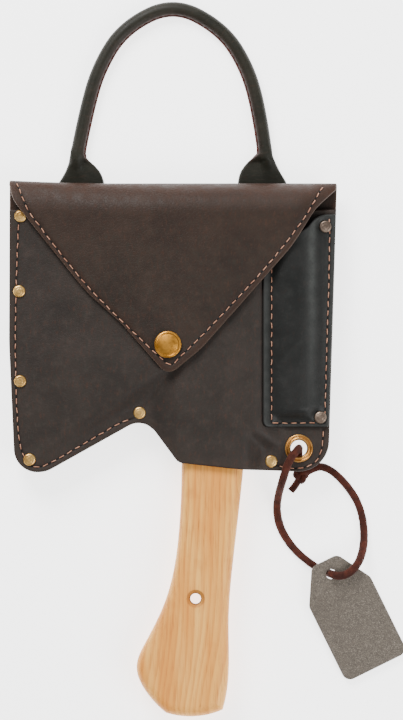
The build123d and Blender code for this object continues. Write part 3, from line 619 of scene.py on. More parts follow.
# ---- Materials -------------------------------------------------------------------
def leather_material(name, base, deep, pale, worn, edge, rough=(0.46, 0.62), grain=0.3, use_uv=True,
                     stored=True, tints=((62, 40, 30), (34, 36, 31))):
    """Oiled full-grain leather, with soft clouding, rub marks, fine grain, darker creases and painted
    shade in the seam grooves.
    """
    nodes = Nodes(name)
    place = nodes.place(use_uv)
    clouds = nodes.noise(place, 30.0, 4.0, 0.6, 0.3)
    patches = nodes.noise(place, 7.0, 6.0, 0.65)
    fine = nodes.noise(place, 1.3, 3.0, 0.6)
    colour = nodes.mix(nodes.band(clouds, 0.3, 0.7), deep, base)
    colour = nodes.tint(colour, nodes.band(patches, 0.48, 0.75), 0.4, pale)
    colour = nodes.tint(colour, nodes.band(fine, 0.5, 0.75), 0.4, deep)
    warm = nodes.grain(0.35, 1.9, 3.0, 0.6, use_uv=use_uv)
    colour = nodes.tint(colour, nodes.band(warm, 0.54, 0.7), 0.4, tints[0])
    colour = nodes.tint(colour, nodes.band(warm, 0.46, 0.32), 0.4, tints[1])
    rubs = nodes.grain(0.12, 1.0, 2.0, 0.5, 0.8, use_uv=use_uv)
    colour = nodes.tint(colour, nodes.band(rubs, 0.64, 0.76), 0.3, pale)
    if stored:
        # Wear lightens the leather; on the pocket the same share also paints a highlight down the bulge.
        wear = nodes.math("MULTIPLY", nodes.stored("wear"), nodes.band(patches, 0.25, 0.7, 0.5, 1.0))
        colour = nodes.mix(wear, colour, worn)
        # Painted shade: the seam grooves are darkened almost to black.
        colour = nodes.tint(colour, nodes.stored("groove"), 0.75, (16, 11, 9))
        edge_share = nodes.math("MULTIPLY", nodes.stored("edge"), nodes.band(patches, 0.2, 0.6, 0.6, 1.0))
        colour = nodes.mix(edge_share, colour, edge)
    pores = nodes.cells(place, 0.95, "F1")
    creases = nodes.cells(place, 2.3, "DISTANCE_TO_EDGE")
    height = nodes.math("ADD", nodes.math("MULTIPLY", pores, 0.5), nodes.band(creases, 0.0, 0.12))
    height = nodes.math("ADD", height, nodes.math("MULTIPLY", fine, 0.7))
    shallow = nodes.bump(height, grain, 0.2)
    normal = nodes.bump(patches, 0.25, 0.4, shallow)
    roughness = nodes.band(patches, 0.3, 0.7, rough[0], rough[1])
    return nodes.finish(Base_Color=colour, Roughness=roughness, Normal=normal, Specular_IOR_Level=0.17)


def thread_material(name, light, mid, dark):
    """Waxed thread, paler on top and darker between the plies."""
    nodes = Nodes(name)
    place = nodes.place(False)
    tone = nodes.noise(place, 5.0, 3.0)
    fine = nodes.noise(place, 0.5, 2.0)
    colour = nodes.mix(nodes.band(tone, 0.3, 0.7), mid, light)
    colour = nodes.tint(colour, nodes.band(fine, 0.4, 0.7), 0.35, dark)
    normal = nodes.bump(fine, 0.5, 0.15)
    return nodes.finish(Base_Color=colour, Roughness=0.62, Normal=normal, Specular_IOR_Level=0.3)


def metal_material(name, bright, dull, dark, rough=(0.28, 0.5), grime=0.5, spot_mm=2.2):
    """Plated metal with worn high spots and darker tarnish."""
    nodes = Nodes(name)
    place = nodes.place(False)
    stain = nodes.noise(place, spot_mm, 5.0, 0.65)
    cloud = nodes.noise(place, spot_mm * 4, 2.0)
    colour = nodes.mix(nodes.band(cloud, 0.35, 0.65), dull, bright)
    colour = nodes.mix(nodes.math("MULTIPLY", nodes.band(stain, 0.5, 0.72), grime), colour, dark)
    scratch = nodes.grain(0.2, 0.5, 3.0)
    normal = nodes.bump(nodes.math("ADD", scratch, stain), 0.25, 0.08)
    roughness = nodes.band(stain, 0.35, 0.7, rough[0], rough[1])
    return nodes.finish(Base_Color=colour, Metallic=1.0, Roughness=roughness, Normal=normal)


def tag_material():
    """Bead-blasted steel: warm grey, with light and dark specks and a soft cloud."""
    nodes = Nodes("blasted_steel")
    place = nodes.place(False)
    speck = nodes.noise(place, 0.7, 2.0, 0.6)
    mottle = nodes.noise(place, 2.2, 6.0, 0.8)
    cloud = nodes.noise(place, 22.0, 3.0)
    colour = nodes.mix(nodes.band(mottle, 0.36, 0.64), (82, 75, 67), (104, 96, 86))
    colour = nodes.tint(colour, nodes.band(speck, 0.55, 0.7), 0.7, (152, 142, 130))
    colour = nodes.tint(colour, nodes.band(speck, 0.45, 0.3), 0.7, (58, 52, 46))
    colour = nodes.tint(colour, nodes.band(cloud, 0.4, 0.7), 0.3, (84, 76, 68))
    normal = nodes.bump(nodes.math("ADD", speck, mottle), 0.45, 0.12)
    roughness = nodes.band(mottle, 0.3, 0.7, 0.45, 0.62)
    return nodes.finish(Base_Color=colour, Metallic=0.4, Roughness=roughness, Normal=normal)


LANYARD_AT = (0.0162, -0.1686)


def ash_material():
    """Oiled ash: fine growth lines along the haft, and a singed lanyard hole."""
    nodes = Nodes("oiled_ash")
    source = nodes.add("ShaderNodeTexCoord").outputs["Object"]
    parts = nodes.add("ShaderNodeSeparateXYZ", {"Vector": source})
    bend = nodes.grain(0.22, 55.0, 2.0)
    across = nodes.math("ADD", parts.outputs["X"], nodes.math("MULTIPLY", bend, 0.030))
    across = nodes.math("ADD", across, nodes.math("MULTIPLY", parts.outputs["Z"], 0.5))
    # The rings run out of the surface slowly, so the lines bow out below the hole.
    low = nodes.band(parts.outputs["Y"], -0.13, -0.26)
    across = nodes.math("ADD", across, nodes.math("MULTIPLY", nodes.math("MULTIPLY", low, low), 0.012))
    wobble = nodes.grain(0.1, 6.0, 2.0)
    across = nodes.math("ADD", across, nodes.math("MULTIPLY", wobble, 0.0022))
    rings = nodes.math("FRACT", nodes.math("MULTIPLY", across, 1000.0 / 4.6))
    ring = nodes.math("MAXIMUM", nodes.band(rings, 0.35, 0.95), nodes.band(rings, 0.0, 0.1, 1.0, 0.0))
    streak = nodes.grain(0.04, 0.9, 3.0, 0.6)
    broad = nodes.grain(0.12, 12.0, 3.0)
    pores = nodes.grain(0.03, 0.42, 2.0)
    blotch = nodes.noise(nodes.place(False), 26.0, 3.0)
    colour = nodes.mix(nodes.band(broad, 0.3, 0.7), (220, 144, 56), (240, 178, 86))
    colour = nodes.tint(colour, ring, 0.42, (196, 116, 40))
    colour = nodes.tint(colour, nodes.band(streak, 0.5, 0.72), 0.5, (168, 94, 32))
    colour = nodes.tint(colour, nodes.band(blotch, 0.56, 0.75), 0.35, (184, 110, 46))
    pore_share = nodes.math("MULTIPLY", nodes.band(pores, 0.6, 0.7), nodes.math("MULTIPLY", ring, 0.5))
    colour = nodes.mix(pore_share, colour, (140, 80, 32))
    dx = nodes.math("SUBTRACT", parts.outputs["X"], LANYARD_AT[0])
    dy = nodes.math("SUBTRACT", parts.outputs["Y"], LANYARD_AT[1])
    squares = nodes.math("ADD", nodes.math("MULTIPLY", dx, dx), nodes.math("MULTIPLY", dy, dy))
    reach = nodes.math("SQRT", squares)
    colour = nodes.mix(nodes.band(reach, 0.0071, 0.0056, 0.0, 0.5), colour, (150, 86, 38))
    colour = nodes.mix(nodes.band(reach, 0.0047, 0.0037, 0.0, 0.95), colour, (54, 28, 14))
    normal = nodes.bump(nodes.math("SUBTRACT", streak, pores), 0.16, 0.12)
    roughness = nodes.band(streak, 0.3, 0.7, 0.42, 0.55)
    return nodes.finish(Base_Color=colour, Roughness=roughness, Normal=normal, Specular_IOR_Level=0.3)


def plain_wood_material(name, light, dark):
    nodes = Nodes(name)
    streak = nodes.grain(0.08, 1.2, 4.0)
    colour = nodes.mix(nodes.band(streak, 0.35, 0.65), light, dark)
    return nodes.finish(Base_Color=colour, Roughness=0.6, Normal=nodes.bump(streak, 0.3, 0.15))


def cord_core_material():
    nodes = Nodes("twisted_cord")
    fibre = nodes.grain(0.3, 0.6, 3.0)
    colour = nodes.mix(fibre, (180, 170, 150), (220, 214, 196))
    return nodes.finish(Base_Color=colour, Roughness=0.85, Normal=nodes.bump(fibre, 0.5, 0.2))


def suede_material():
    """Brushed suede thong: short nap, with painted highlight on its raised tufts and painted shade in its
    hollows.
    """
    nodes = Nodes("lace_suede")
    place = nodes.place(False)
    nap = nodes.noise(place, 0.55, 4.0, 0.7)
    patch = nodes.noise(place, 5.0, 4.0, 0.6)
    # The noise that raises the nap also pales it, painting highlight on the tufts and shade in the
    # hollows.
    colour = nodes.mix(nodes.band(patch, 0.3, 0.7), (44, 20, 14), (72, 33, 23))
    colour = nodes.tint(colour, nodes.band(nap, 0.5, 0.75), 0.45, (100, 50, 36))
    normal = nodes.bump(nodes.math("ADD", nap, patch), 0.6, 0.35)
    return nodes.finish(
        Base_Color=colour, Roughness=0.88, Normal=normal, Specular_IOR_Level=0.2,
        Sheen_Weight=0.06, Sheen_Roughness=0.4,
    )


PANEL = leather_material(
    "panel_leather", (46, 39, 35), (37, 32, 29), (60, 52, 46), (52, 42, 35), (40, 28, 23),
)
FLAP = leather_material(
    "flap_leather", (45, 35, 29), (36, 28, 23), (56, 45, 37), (54, 31, 19), (84, 68, 58),
)
# The pocket's worn colour serves its rubbed edges and the painted highlight down the bulge's shoulder.
POCKET = leather_material(
    # The last colour, the near-black cut edge, is partly the edge's dark finish and partly painted shade
    # along the pocket's edges.
    "pocket_leather", (31, 31, 30), (22, 23, 22), (40, 41, 39), (66, 68, 66), (18, 15, 14),
    rough=(0.38, 0.5), grain=0.2, tints=((36, 29, 26), (24, 28, 26)),
)
HANDLE = leather_material(
    "handle_leather", (36, 34, 27), (26, 26, 20), (46, 43, 35), (50, 40, 33), (62, 30, 24),
    rough=(0.42, 0.56), grain=0.2, tints=((50, 38, 30), (32, 34, 27)),
)
EDGE = leather_material(
    "edge_leather", (52, 32, 25), (36, 23, 19), (70, 44, 34), (52, 32, 25), (52, 32, 25),
    use_uv=False, stored=False,
)
# Painted shade: near-black leather for the needle holes, standing in for the shade inside them.
HOLE_SHADE = leather_material(
    "hole_shade_leather", (16, 11, 9), (11, 8, 7), (22, 15, 12), (16, 11, 9), (16, 11, 9),
    use_uv=False, stored=False, tints=((20, 12, 9), (12, 11, 9)),
)
THREAD_WAX = thread_material("waxed_thread", (180, 136, 112), (146, 100, 80), (96, 58, 44))
THREAD_DARK = thread_material("handle_thread", (104, 50, 40), (82, 40, 32), (50, 26, 20))
BRASS = metal_material("antique_brass", (226, 184, 112), (178, 136, 76), (78, 52, 28), (0.3, 0.45))
SNAP = metal_material("snap_brass", (196, 140, 60), (150, 102, 38), (74, 48, 20), (0.34, 0.5), 0.45)
EYELET = metal_material("eyelet_brass", (212, 158, 90), (166, 116, 60), (76, 48, 24), (0.26, 0.4), 0.3)
PEWTER = metal_material("pewter", (150, 132, 118), (104, 90, 80), (50, 42, 36), (0.34, 0.5))
FORGED = metal_material(
    "forged_steel", (150, 150, 152), (96, 96, 98), (52, 52, 54), (0.35, 0.6), 0.5, 9.0,
)
WEDGE = metal_material("wedge_steel", (160, 160, 160), (120, 120, 120), (70, 70, 70))
SUEDE = suede_material()

NODE_MATERIALS = {
    "blade_edge_welt": EDGE, "spine_edge_welt": EDGE, "seam_rivet_posts": BRASS,
    "pocket_rivet_posts": PEWTER, "snap_socket": SNAP, "snap_stud": SNAP,
    "snap_stud_base": SNAP, "eyelet_washer": EYELET, "carry_tab_rivets": PEWTER, "axe_head": FORGED,
    "axe_haft": ash_material(),
    "haft_wood_wedge": plain_wood_material("wedge_wood", (190, 140, 90), (140, 96, 60)),
    "haft_steel_wedge": WEDGE, "carry_handle_core": cord_core_material(), "tag": tag_material(),
}


def dress_frame():
    """Gives the CAD nodes that stay in view their materials."""
    for name, material in NODE_MATERIALS.items():
        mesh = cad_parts[name].data
        mesh.materials.clear()
        mesh.materials.append(material)


# ---- Stitches --------------------------------------------------------------------
def walk(line, pitch, start):
    """Places and directions at an even pitch along a line of points."""
    stops = []
    travelled, target = 0.0, start
    for a, b in zip(line, line[1:]):
        run = (b - a).length
        while run > 1e-6 and target <= travelled + run:
            stops.append((a.lerp(b, (target - travelled) / run), (b - a).normalized()))
            target += pitch
        travelled += run
    return stops


def side_faces(base, rings, sides):
    """Faces between rings of points that start at base."""
    faces = []
    for ring in range(rings - 1):
        for k in range(sides):
            a, b = base + ring * sides + k, base + ring * sides + (k + 1) % sides
            faces.append((a, b, b + sides, a + sides))
    return faces


def tube_faces(base, rings, sides):
    """Faces of a tube closed at both ends, whose points start at base."""
    last = base + (rings - 1) * sides
    ends = [tuple(base + k for k in reversed(range(sides))), tuple(last + k for k in range(sides))]
    return side_faces(base, rings, sides) + ends


def stitches(name, line, surface, facing, start):
    """Thread stitches in the groove of a seam, and dark sunken discs of painted shade for the needle
    holes between them.
    """
    thread, thread_faces, hole, hole_faces = [], [], [], []
    for number, (place, along) in enumerate(walk(line, STITCH_PITCH, start)):
        # No two stitches lean quite alike or have quite the same length.
        direction = turned_by(along, 0.10 * math.sin(number * 2.3))
        half = STITCH_LENGTH * (1.0 + 0.06 * math.sin(number * 1.7)) / 2
        thread_faces += tube_faces(len(thread), STITCH_RINGS, STITCH_SIDES)
        hole_faces += tube_faces(len(hole), STITCH_RINGS, STITCH_SIDES)
        for ring in range(STITCH_RINGS):
            t = ring / (STITCH_RINGS - 1) * 2 - 1
            # The thread dives into a hole at both ends, and swells between them.
            level = -0.12 + 0.3 * (1 - t**4) - 0.7 * t**6
            girth = THREAD * (0.55 + 0.45 * (1 - t**8)) * (1 + 0.08 * math.sin(t * 9))
            spot = place + direction * (t * half)
            thread += stitch_ring(surface, facing, spot, direction, level, girth, THREAD_FLATNESS)
            spot = place + along * (STITCH_PITCH / 2) + direction * (t * HOLE_LONG)
            girth = HOLE_WIDE * math.sqrt(max(0.02, 1 - t * t))
            hole += stitch_ring(surface, facing, spot, direction, HOLE_LEVEL, girth, HOLE_FLATNESS)
    return [
        make_object(name, np.array(thread), thread_faces, THREAD_WAX),
        make_object(name + "_hole_shades", np.array(hole), hole_faces, HOLE_SHADE),
    ]


def stitch_ring(surface, facing, spot, direction, level, girth, flatness):
    """A ring of points round a stitch's line, at a level above the leather."""
    u, v = np.array([spot.x]), np.array([spot.y])
    normals, across, upward = face_normals(surface, u, v, facing)
    normal = normals[0]
    tangent = across[0] * direction.x + upward[0] * direction.y
    side = np.cross(normal, tangent / np.linalg.norm(tangent)) * facing
    centre = surface(u, v)[0] + normal * level
    angles = [2 * math.pi * k / STITCH_SIDES for k in range(STITCH_SIDES)]
    return [centre + girth * (side * math.cos(a) + normal * math.sin(a) * flatness) for a in angles]


def settle(piece, body, slot, *nodes):
    """Fixes a piece to its body and hides the CAD nodes it stands for; the slot is not used."""
    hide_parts(*nodes)
    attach(piece, body)


# ---- The case --------------------------------------------------------------------
def stretch_of(points, keep):
    """The longest unbroken stretch of a closed line whose points pass a test."""
    count = len(points)
    passing = [keep(point) for point in points]
    stretches = []
    for start in range(count):
        if passing[start] and not passing[start - 1]:
            end = start
            while passing[end % count]:
                end += 1
            stretches.append([points[index % count] for index in range(start, end)])
    return max(stretches, key=len)


def build_case():
    """Leather panels, pocket, flap and their stitching."""
    left_seam, right_seam = through(LEFT_SEAM), through(RIGHT_SEAM)
    pocket_seam = through(POCKET_SEAM)
    upper_seam = [p for p in right_seam if p.y > -47]
    lower_seam = [p for p in right_seam if p.y <= -50]
    rear_top = [p for p in left_seam if p.y < 99]
    eyelet = circle(EYELET_AT, EYELET_HOLE_R)
    case_line = rounded(CASE_CORNERS, CASE_RADII)

    front_line = [Vector((point.x, min(point.y, MOUTH_Y))) for point in case_line]
    neighbours = zip(front_line, front_line[1:] + front_line[:1])
    front_line = resampled([a for a, b in neighbours if (a - b).length > 0.05])
    front = leather_sheet(
        "front_leather", front_line, front_surface, LEATHER, PANEL,
        [left_seam, lower_seam], holes=[eyelet],
    )
    settle(front, "root", "panel_leather", "front_panel")

    def pocket_wear(u, v):
        # Painted highlight down the shoulder of the bulge, where the leather is also rubbed paler;
        # strongest near the mouth.
        length = np.clip((v + 30) / 90, 0, 1)
        return (0.15 + 0.55 * length) * np.exp(-((u - 97.5) / 2.6) ** 2)

    pocket = leather_sheet(
        "pocket_leather", rounded(POCKET_CORNERS, POCKET_RADII), pocket_surface, POCKET_LEATHER, POCKET,
        [pocket_seam, upper_seam], pocket_wear, spacing=2.2,
    )
    settle(pocket, "root", "pocket_leather", "tool_pocket")

    # The back panel, the fold and the flap are cut as one piece. Its second half is laid
    # out the other way up, so the flap's outline is turned over to join the back's.
    back_part = [Vector((p.x, back_v(p.y))) for p in case_line]
    flap_part = [Vector((p.x, flap_v(p.y))) for p in rounded(FLAP_CORNERS, FLAP_RADII)]
    back_open = stretch_of(back_part, lambda p: p.y < back_v(CASE_TOP) - 0.01)
    flap_open = stretch_of(flap_part, lambda p: p.y > flap_v(CASE_TOP) + 0.01)
    whole = resampled(back_open + list(reversed(flap_open)))
    flap_seam = through([(x, flap_v(y)) for x, y in FLAP_SEAM])

    def fold_wear(u, v):
        fold_v = flap_v(CASE_TOP)
        near = np.exp(-((v - fold_v - 9.0) / 12.0) ** 2)
        below = 0.3 * np.exp(-((v - fold_v - 34) / 24.0) ** 2)
        return np.clip(0.75 * near + 0.6 * below, 0, 1)

    back = leather_sheet(
        "back_and_flap_leather", whole, back_and_flap_surface, LEATHER, FLAP,
        [left_seam, right_seam, flap_seam], fold_wear,
        spacing=2.8, facing=-1, holes=[eyelet],
    )
    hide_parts("back_panel", "flap")
    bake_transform(back)

    for name, line, surface, facing, start in (
        ("left_seam_stitches", left_seam, front_surface, 1, 6.0),
        ("pocket_seam_stitches", pocket_seam, pocket_surface, 1, 2.0),
        ("pocket_edge_stitches", upper_seam, pocket_surface, 1, 2.0),
        ("corner_seam_stitches", lower_seam, front_surface, 1, 2.0),
        ("left_seam_rear_stitches", rear_top, back_and_flap_surface, -1, 6.0),
        ("right_seam_rear_stitches", right_seam, back_and_flap_surface, -1, 6.0),
    ):
        for piece in stitches(name, line, surface, facing, start):
            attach(piece, "root")
    for piece in stitches("flap_stitches", flap_seam, back_and_flap_surface, -1, 2.0):
        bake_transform(piece)


build_case()
dress_frame()


# ---- Turned metal pieces ---------------------------------------------------------
def turned(name, centres, base_z, profile, material, sides, wobble=0.0):
    """Pieces turned about upright axes, from (radius, height) points, slightly beaten."""
    points, faces = [], []
    for number, centre in enumerate(centres):
        base = len(points)
        for radius, height in profile:
            for k in range(sides):
                angle = 2 * math.pi * k / sides
                x, y = centre[0] + radius * math.cos(angle), centre[1] + radius * math.sin(angle)
                beaten = wobble * noise.noise(Vector((x * 0.9, y * 0.9, number * 3.1 + height)))
                x += beaten * math.cos(angle) * min(radius, 1.0)
                y += beaten * math.sin(angle) * min(radius, 1.0)
                points.append((x, y, base_z + height + beaten * 0.5 * (height > 0.3)))
        faces += side_faces(base, len(profile), sides)
    return make_object(name, np.array(points), faces, material)


def arc_profile(centre, radius, start, end, steps):
    """Points of an arc in a turning profile, angles in degrees."""
    angles = [math.radians(start + (end - start) * k / steps) for k in range(steps + 1)]
    return [(centre[0] + radius * math.cos(a), centre[1] + radius * math.sin(a)) for a in angles]


def build_snap():
    """Outer cap of the press stud: a flat, slightly crowned disc inside a raised rim."""
    profile = [(0.02, 0.0), (8.9, 0.0)] + arc_profile((8.35, 1.25), 1.15, -70, 115, 12)
    profile += [(7.65, 1.75), (7.35, 1.55), (7.0, 1.65)]
    profile += [(7.0 - 0.7 * k, 1.65 + 0.9 * math.sin(math.pi / 2 * k / 10)) for k in range(1, 10)]
    profile += [(0.02, 2.55)]
    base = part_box("snap_cap")[0][2] / MM - 0.05
    cap = turned("snap_cap_turned", [SNAP_AT], base, profile, SNAP, 72, 0.06)
    settle(cap, "flap", "snap_brass", "snap_cap")


def build_rivets():
    """Rivet caps: domed rim, and a flattened middle with the mark of the setting tool."""
    profile = [(0.02, -0.1), (4.3, -0.1), (4.4, 0.35), (4.25, 0.85), (3.85, 1.3), (3.35, 1.55)]
    profile += [(2.9, 1.62), (2.55, 1.5), (2.3, 1.52), (1.9, 1.66), (1.2, 1.72), (0.6, 1.66), (0.02, 1.6)]
    seam = turned("seam_rivet_heads", SEAM_RIVETS, MARGIN_TOP, profile, BRASS, 40, 0.16)
    settle(seam, "root", "brass", "seam_rivet_caps")
    pocket_top = MARGIN_TOP + POCKET_LEATHER
    pocket = turned("pocket_rivet_heads", POCKET_RIVETS, pocket_top, profile, PEWTER, 40, 0.16)
    settle(pocket, "root", "pewter", "pocket_rivet_caps")


def build_eyelet():
    """Eyelet: flat outer washer ring, a groove, and the rolled lip of the barrel."""
    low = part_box("eyelet_barrel")[0][2] / MM
    top = MARGIN_TOP - low
    profile = [(9.7, top - 0.1)] + arc_profile((9.1, top + 0.15), 0.75, 0, 120, 6)
    profile += [(8.35, top + 0.45), (8.1, top + 0.25), (7.9, top + 0.3)]
    profile += arc_profile((6.9, top + 0.0), 1.1, 40, 180, 9)
    profile += [(5.75, top - 1.6), (5.72, 0.3), (6.1, 0.0)]
    lip = turned("eyelet_lip", [EYELET_AT], low, profile, EYELET, 64)
    settle(lip, "root", "eyelet_brass", "eyelet_barrel")


build_snap()
build_rivets()
build_eyelet()


# ---- Carry handle ----------------------------------------------------------------
HANDLE_ROUTE = [
    (-66.3, 145.0), (-61.2, 171.0), (-52.3, 203.0), (-34.5, 231.5), (0.7, 249.0), (35.5, 230.5),
    (53.0, 203.0), (61.5, 171.0), (64.9, 145.0),
]
# Height along the tab, and where its outer and inner edges are.
LEFT_TAB = [
    (103.0, -79.4, -48.4), (112.0, -79.6, -48.2), (120.0, -79.7, -48.0), (123.0, -79.5, -48.0),
    (127.0, -77.0, -49.2), (131.0, -74.8, -51.2), (135.0, -73.1, -54.2), (138.5, -72.3, -58.0),
    (141.0, -71.9, -60.6), (144.0, -71.5, -61.4),
]
RIGHT_TAB = [
    (103.0, 79.0, 46.6), (112.0, 79.4, 46.2), (120.0, 79.7, 45.9), (123.0, 79.7, 45.8),
    (127.0, 77.4, 46.5), (131.0, 74.9, 47.9), (135.0, 72.7, 50.2), (138.5, 71.0, 53.0),
    (141.0, 70.2, 56.2), (144.0, 69.9, 59.6),
]
HANDLE_SIDES = 64
TUBE_R = 4.85
ARCH_Z = 5.0
TUBE_LEAN = 0.19            # the arch leans inwards where it leaves the tabs, in radians
TAB_HALF = 2.0              # half the thickness of a tab
TAB_EDGE_R = 1.6
TAB_MID_Z = 3.0
TAB_END_Y, TUBE_START_Y, TAB_STEP = 103.0, 144.2, 1.0
TAB_END_R = 5.0
CORE_START_Y, CORE_FREE_Y = 122.0, 138.0
FLANGE_HALF, FLANGE_REACH, CREASE_DEPTH = 1.15, 0.85, 0.3


def smooth_step(share):
    return share**2 * (3 - 2 * share)


def tab_rows(table, sign):
    """Rows up one tab: middle, outward direction, half width, roundness, tube share and place."""
    heights, outers, inners = np.array(table).T
    rows = []
    for y in np.arange(TAB_END_Y, TUBE_START_Y, TAB_STEP):
        outer, inner = np.interp(y, heights, outers), np.interp(y, heights, inners)
        if y < TAB_END_Y + TAB_END_R:
            fall = (TAB_END_Y + TAB_END_R - y) / (TAB_END_R + 0.2)
            shrink = 3.0 * (1 - math.sqrt(max(0.0, 1 - fall**2)))
            outer -= sign * shrink
            inner += sign * shrink
        turn = np.clip((y - 130.0) / 14.0, 0, 1) * TUBE_LEAN
        outward = np.array([sign * math.cos(turn), math.sin(turn)])
        rounding = smooth_step(np.clip((y - 136.0) / 7.5, 0, 1))
        core = smooth_step(np.clip((y - CORE_START_Y) / 20.0, 0, 1))
        tube_x = outer - sign * TUBE_R
        if y <= CORE_FREE_Y:
            tube_x = np.interp(y, [CORE_START_Y, CORE_FREE_Y], [sign * 68.5, sign * 67.3])
        middle = np.array([(outer + inner) / 2, y])
        rows.append((middle, outward, abs(outer - inner) / 2, rounding, core, tube_x))
    return rows


def handle_rows():
    """Rows of the whole handle, up the left tab, over the arch and down the right one."""
    arch = spline_places("route", [(x * MM, y * MM, 0.0) for x, y in HANDLE_ROUTE], 16)
    arch = np.array([tuple(place.xy) for place in arch]) / MM
    rows = tab_rows(LEFT_TAB, -1)
    for behind, middle, ahead in zip(arch, arch[1:], arch[2:]):
        along = (ahead - behind) / np.linalg.norm(ahead - behind)
        rows.append((middle, np.array([-along[1], along[0]]), TUBE_R, 1.0, 1.0, None))
    return rows + tab_rows(RIGHT_TAB, 1)[::-1]


def half_height(row, mid_z, angle, across):
    """Height of the handle's skin above its middle at a place across it."""
    middle, outward, wide, rounding, core, tube_x = row
    from_edge = wide - abs(across)
    flat_z = TAB_HALF * math.sqrt(max(0.0, 1 - max(0.0, 1 - from_edge / TAB_EDGE_R) ** 2))
    round_z = TUBE_R * math.sqrt(max(0.0, 1 - (across / wide) ** 2))
    z = flat_z * (1 - rounding) + round_z * rounding
    if angle <= math.pi and tube_x is not None:
        # The cord core shows as a ridge that fades out down the tab.
        reach = (middle[0] + outward[0] * across - tube_x) / (TUBE_R + 0.6)
        bulge = core * (TUBE_R + ARCH_Z - mid_z) * math.sqrt(max(0.0, 1 - reach * reach))
        z = max(z, bulge, z + 0.35 * bulge * (1 - rounding))
    return z


def build_handle():
    """Flat tabs that roll up into a round arch, with its sewn edges along the inner side."""
    points, edge_share, cut, seam_places = [], [], [], []
    travelled = 0.0
    rows = handle_rows()
    last = rows[0][0]
    for row in rows:
        middle, outward, wide, rounding = row[:4]
        travelled += float(np.linalg.norm(middle - last))
        last = middle
        mid_z = TAB_MID_Z * (1 - rounding) + ARCH_Z * rounding
        for k in range(HANDLE_SIDES):
            angle = 2 * math.pi * k / HANDLE_SIDES
            upper = angle <= math.pi
            flat_s = 1 - 2 * angle / math.pi if upper else -3 + 2 * angle / math.pi
            across = (flat_s * (1 - rounding) + math.cos(angle) * rounding) * wide
            z = half_height(row, mid_z, angle, across)
            # The two edges of the leather meet in a narrow flange, with a crease on each side.
            away = abs(angle - math.pi)
            flange = math.exp(-((away / 0.17) ** 4)) * max(0.0, rounding * 2 - 1)
            crease = math.exp(-(((away - 0.36) / 0.09) ** 2)) * rounding
            z *= 1 - 0.05 * crease
            if flange > 0.3:
                z = min(z, FLANGE_HALF)
            spot = middle + outward * (across - FLANGE_REACH * flange + CREASE_DEPTH * crease)
            points.append((spot[0], spot[1], mid_z + (z if upper else -z)))
            inner_side = 0.6 * math.exp(-((away / 0.75) ** 2)) * rounding
            edge_share.append(min(1.0, flange + 0.8 * crease + inner_side))
            cut.append((travelled, angle * TUBE_R))
        if rounding > 0.99:
            spot = middle - outward * (wide + 0.35)
            seam_places.append(Vector((spot[0], spot[1], mid_z + 0.9)))
    faces = tube_faces(0, len(rows), HANDLE_SIDES)
    piece = make_object("carry_handle_leather", np.array(points), faces, HANDLE)
    none = np.zeros(len(points))
    store(piece.data, np.array(cut), edge=edge_share, groove=none, wear=none)
    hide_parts("carry_handle_wrap", "carry_tab_left", "carry_tab_right")
    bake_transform(piece)
    return seam_places


def sew_handle(seam_places):
    """The thread along the handle's inner edge."""
    points, faces = [], []
    up = Vector((0, 0, 1))
    for place, along in walk(seam_places, 5.6, 3.0):
        faces += tube_faces(len(points), 7, STITCH_SIDES)
        side = along.cross(up).normalized()
        for ring in range(7):
            t = ring / 3 - 1
            centre = place + along * (t * 1.9) + up * (-0.5 * t * t)
            girth = 0.36 * (1 - 0.5 * t**6)
            for k in range(STITCH_SIDES):
                angle = 2 * math.pi * k / STITCH_SIDES
                points.append(centre + side * math.cos(angle) * girth + up * math.sin(angle) * girth)
    seam = make_object("handle_stitches", np.array([tuple(p) for p in points]), faces, THREAD_DARK)
    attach(seam, "carry_handle")


sew_handle(build_handle())


# ---- Lace and knot ---------------------------------------------------------------
LACE_ROUTE = [
    (0.0892, -0.0790, 0.0052), (0.0886, -0.0715, 0.0046), (0.0884, -0.0635, 0.0046),
    (0.0884, -0.0635, 0.0256), (0.0814, -0.0715, 0.0264), (0.0769, -0.0863, 0.0244),
    (0.0743, -0.0955, 0.0100), (0.0729, -0.1050, 0.0027), (0.0742, -0.1155, 0.0027),
    (0.0786, -0.1255, 0.0027), (0.0864, -0.1358, 0.0027), (0.0960, -0.1438, 0.0027),
    (0.1040, -0.1490, 0.0027), (0.1110, -0.1516, 0.0027), (0.1110, -0.1516, 0.0126),
    (0.1170, -0.1534, 0.0129), (0.1244, -0.1508, 0.0127), (0.1306, -0.1436, 0.0122),
    (0.1336, -0.1344, 0.0062), (0.1345, -0.1246, 0.0027), (0.1332, -0.1110, 0.0027),
    (0.1287, -0.0986, 0.0027), (0.1206, -0.0876, 0.0027), (0.1112, -0.0786, 0.0030),
    (0.1012, -0.0754, 0.0040), (0.0923, -0.0810, 0.0052),
]
LACE_R = 0.0025
LACE_SPREAD = 1.12          # it lies a little wider than it is thick
LACE_SIDES = 16
LACE_TWIST = 60.0
SQUARENESS = 0.72           # 1 is round, and less is squarer
KNOT_AT, KNOT_THONG_R, KNOT_TURNS = Vector((0.0900, -0.0828, 0.0050)), 0.0021, 96
KNOT_SCALE = Vector((0.00125, 0.00115, -0.0017))
TAIL_END, TAIL_R, TAIL_STEPS = Vector((0.0830, -0.0934, 0.0026)), 0.0023, 14


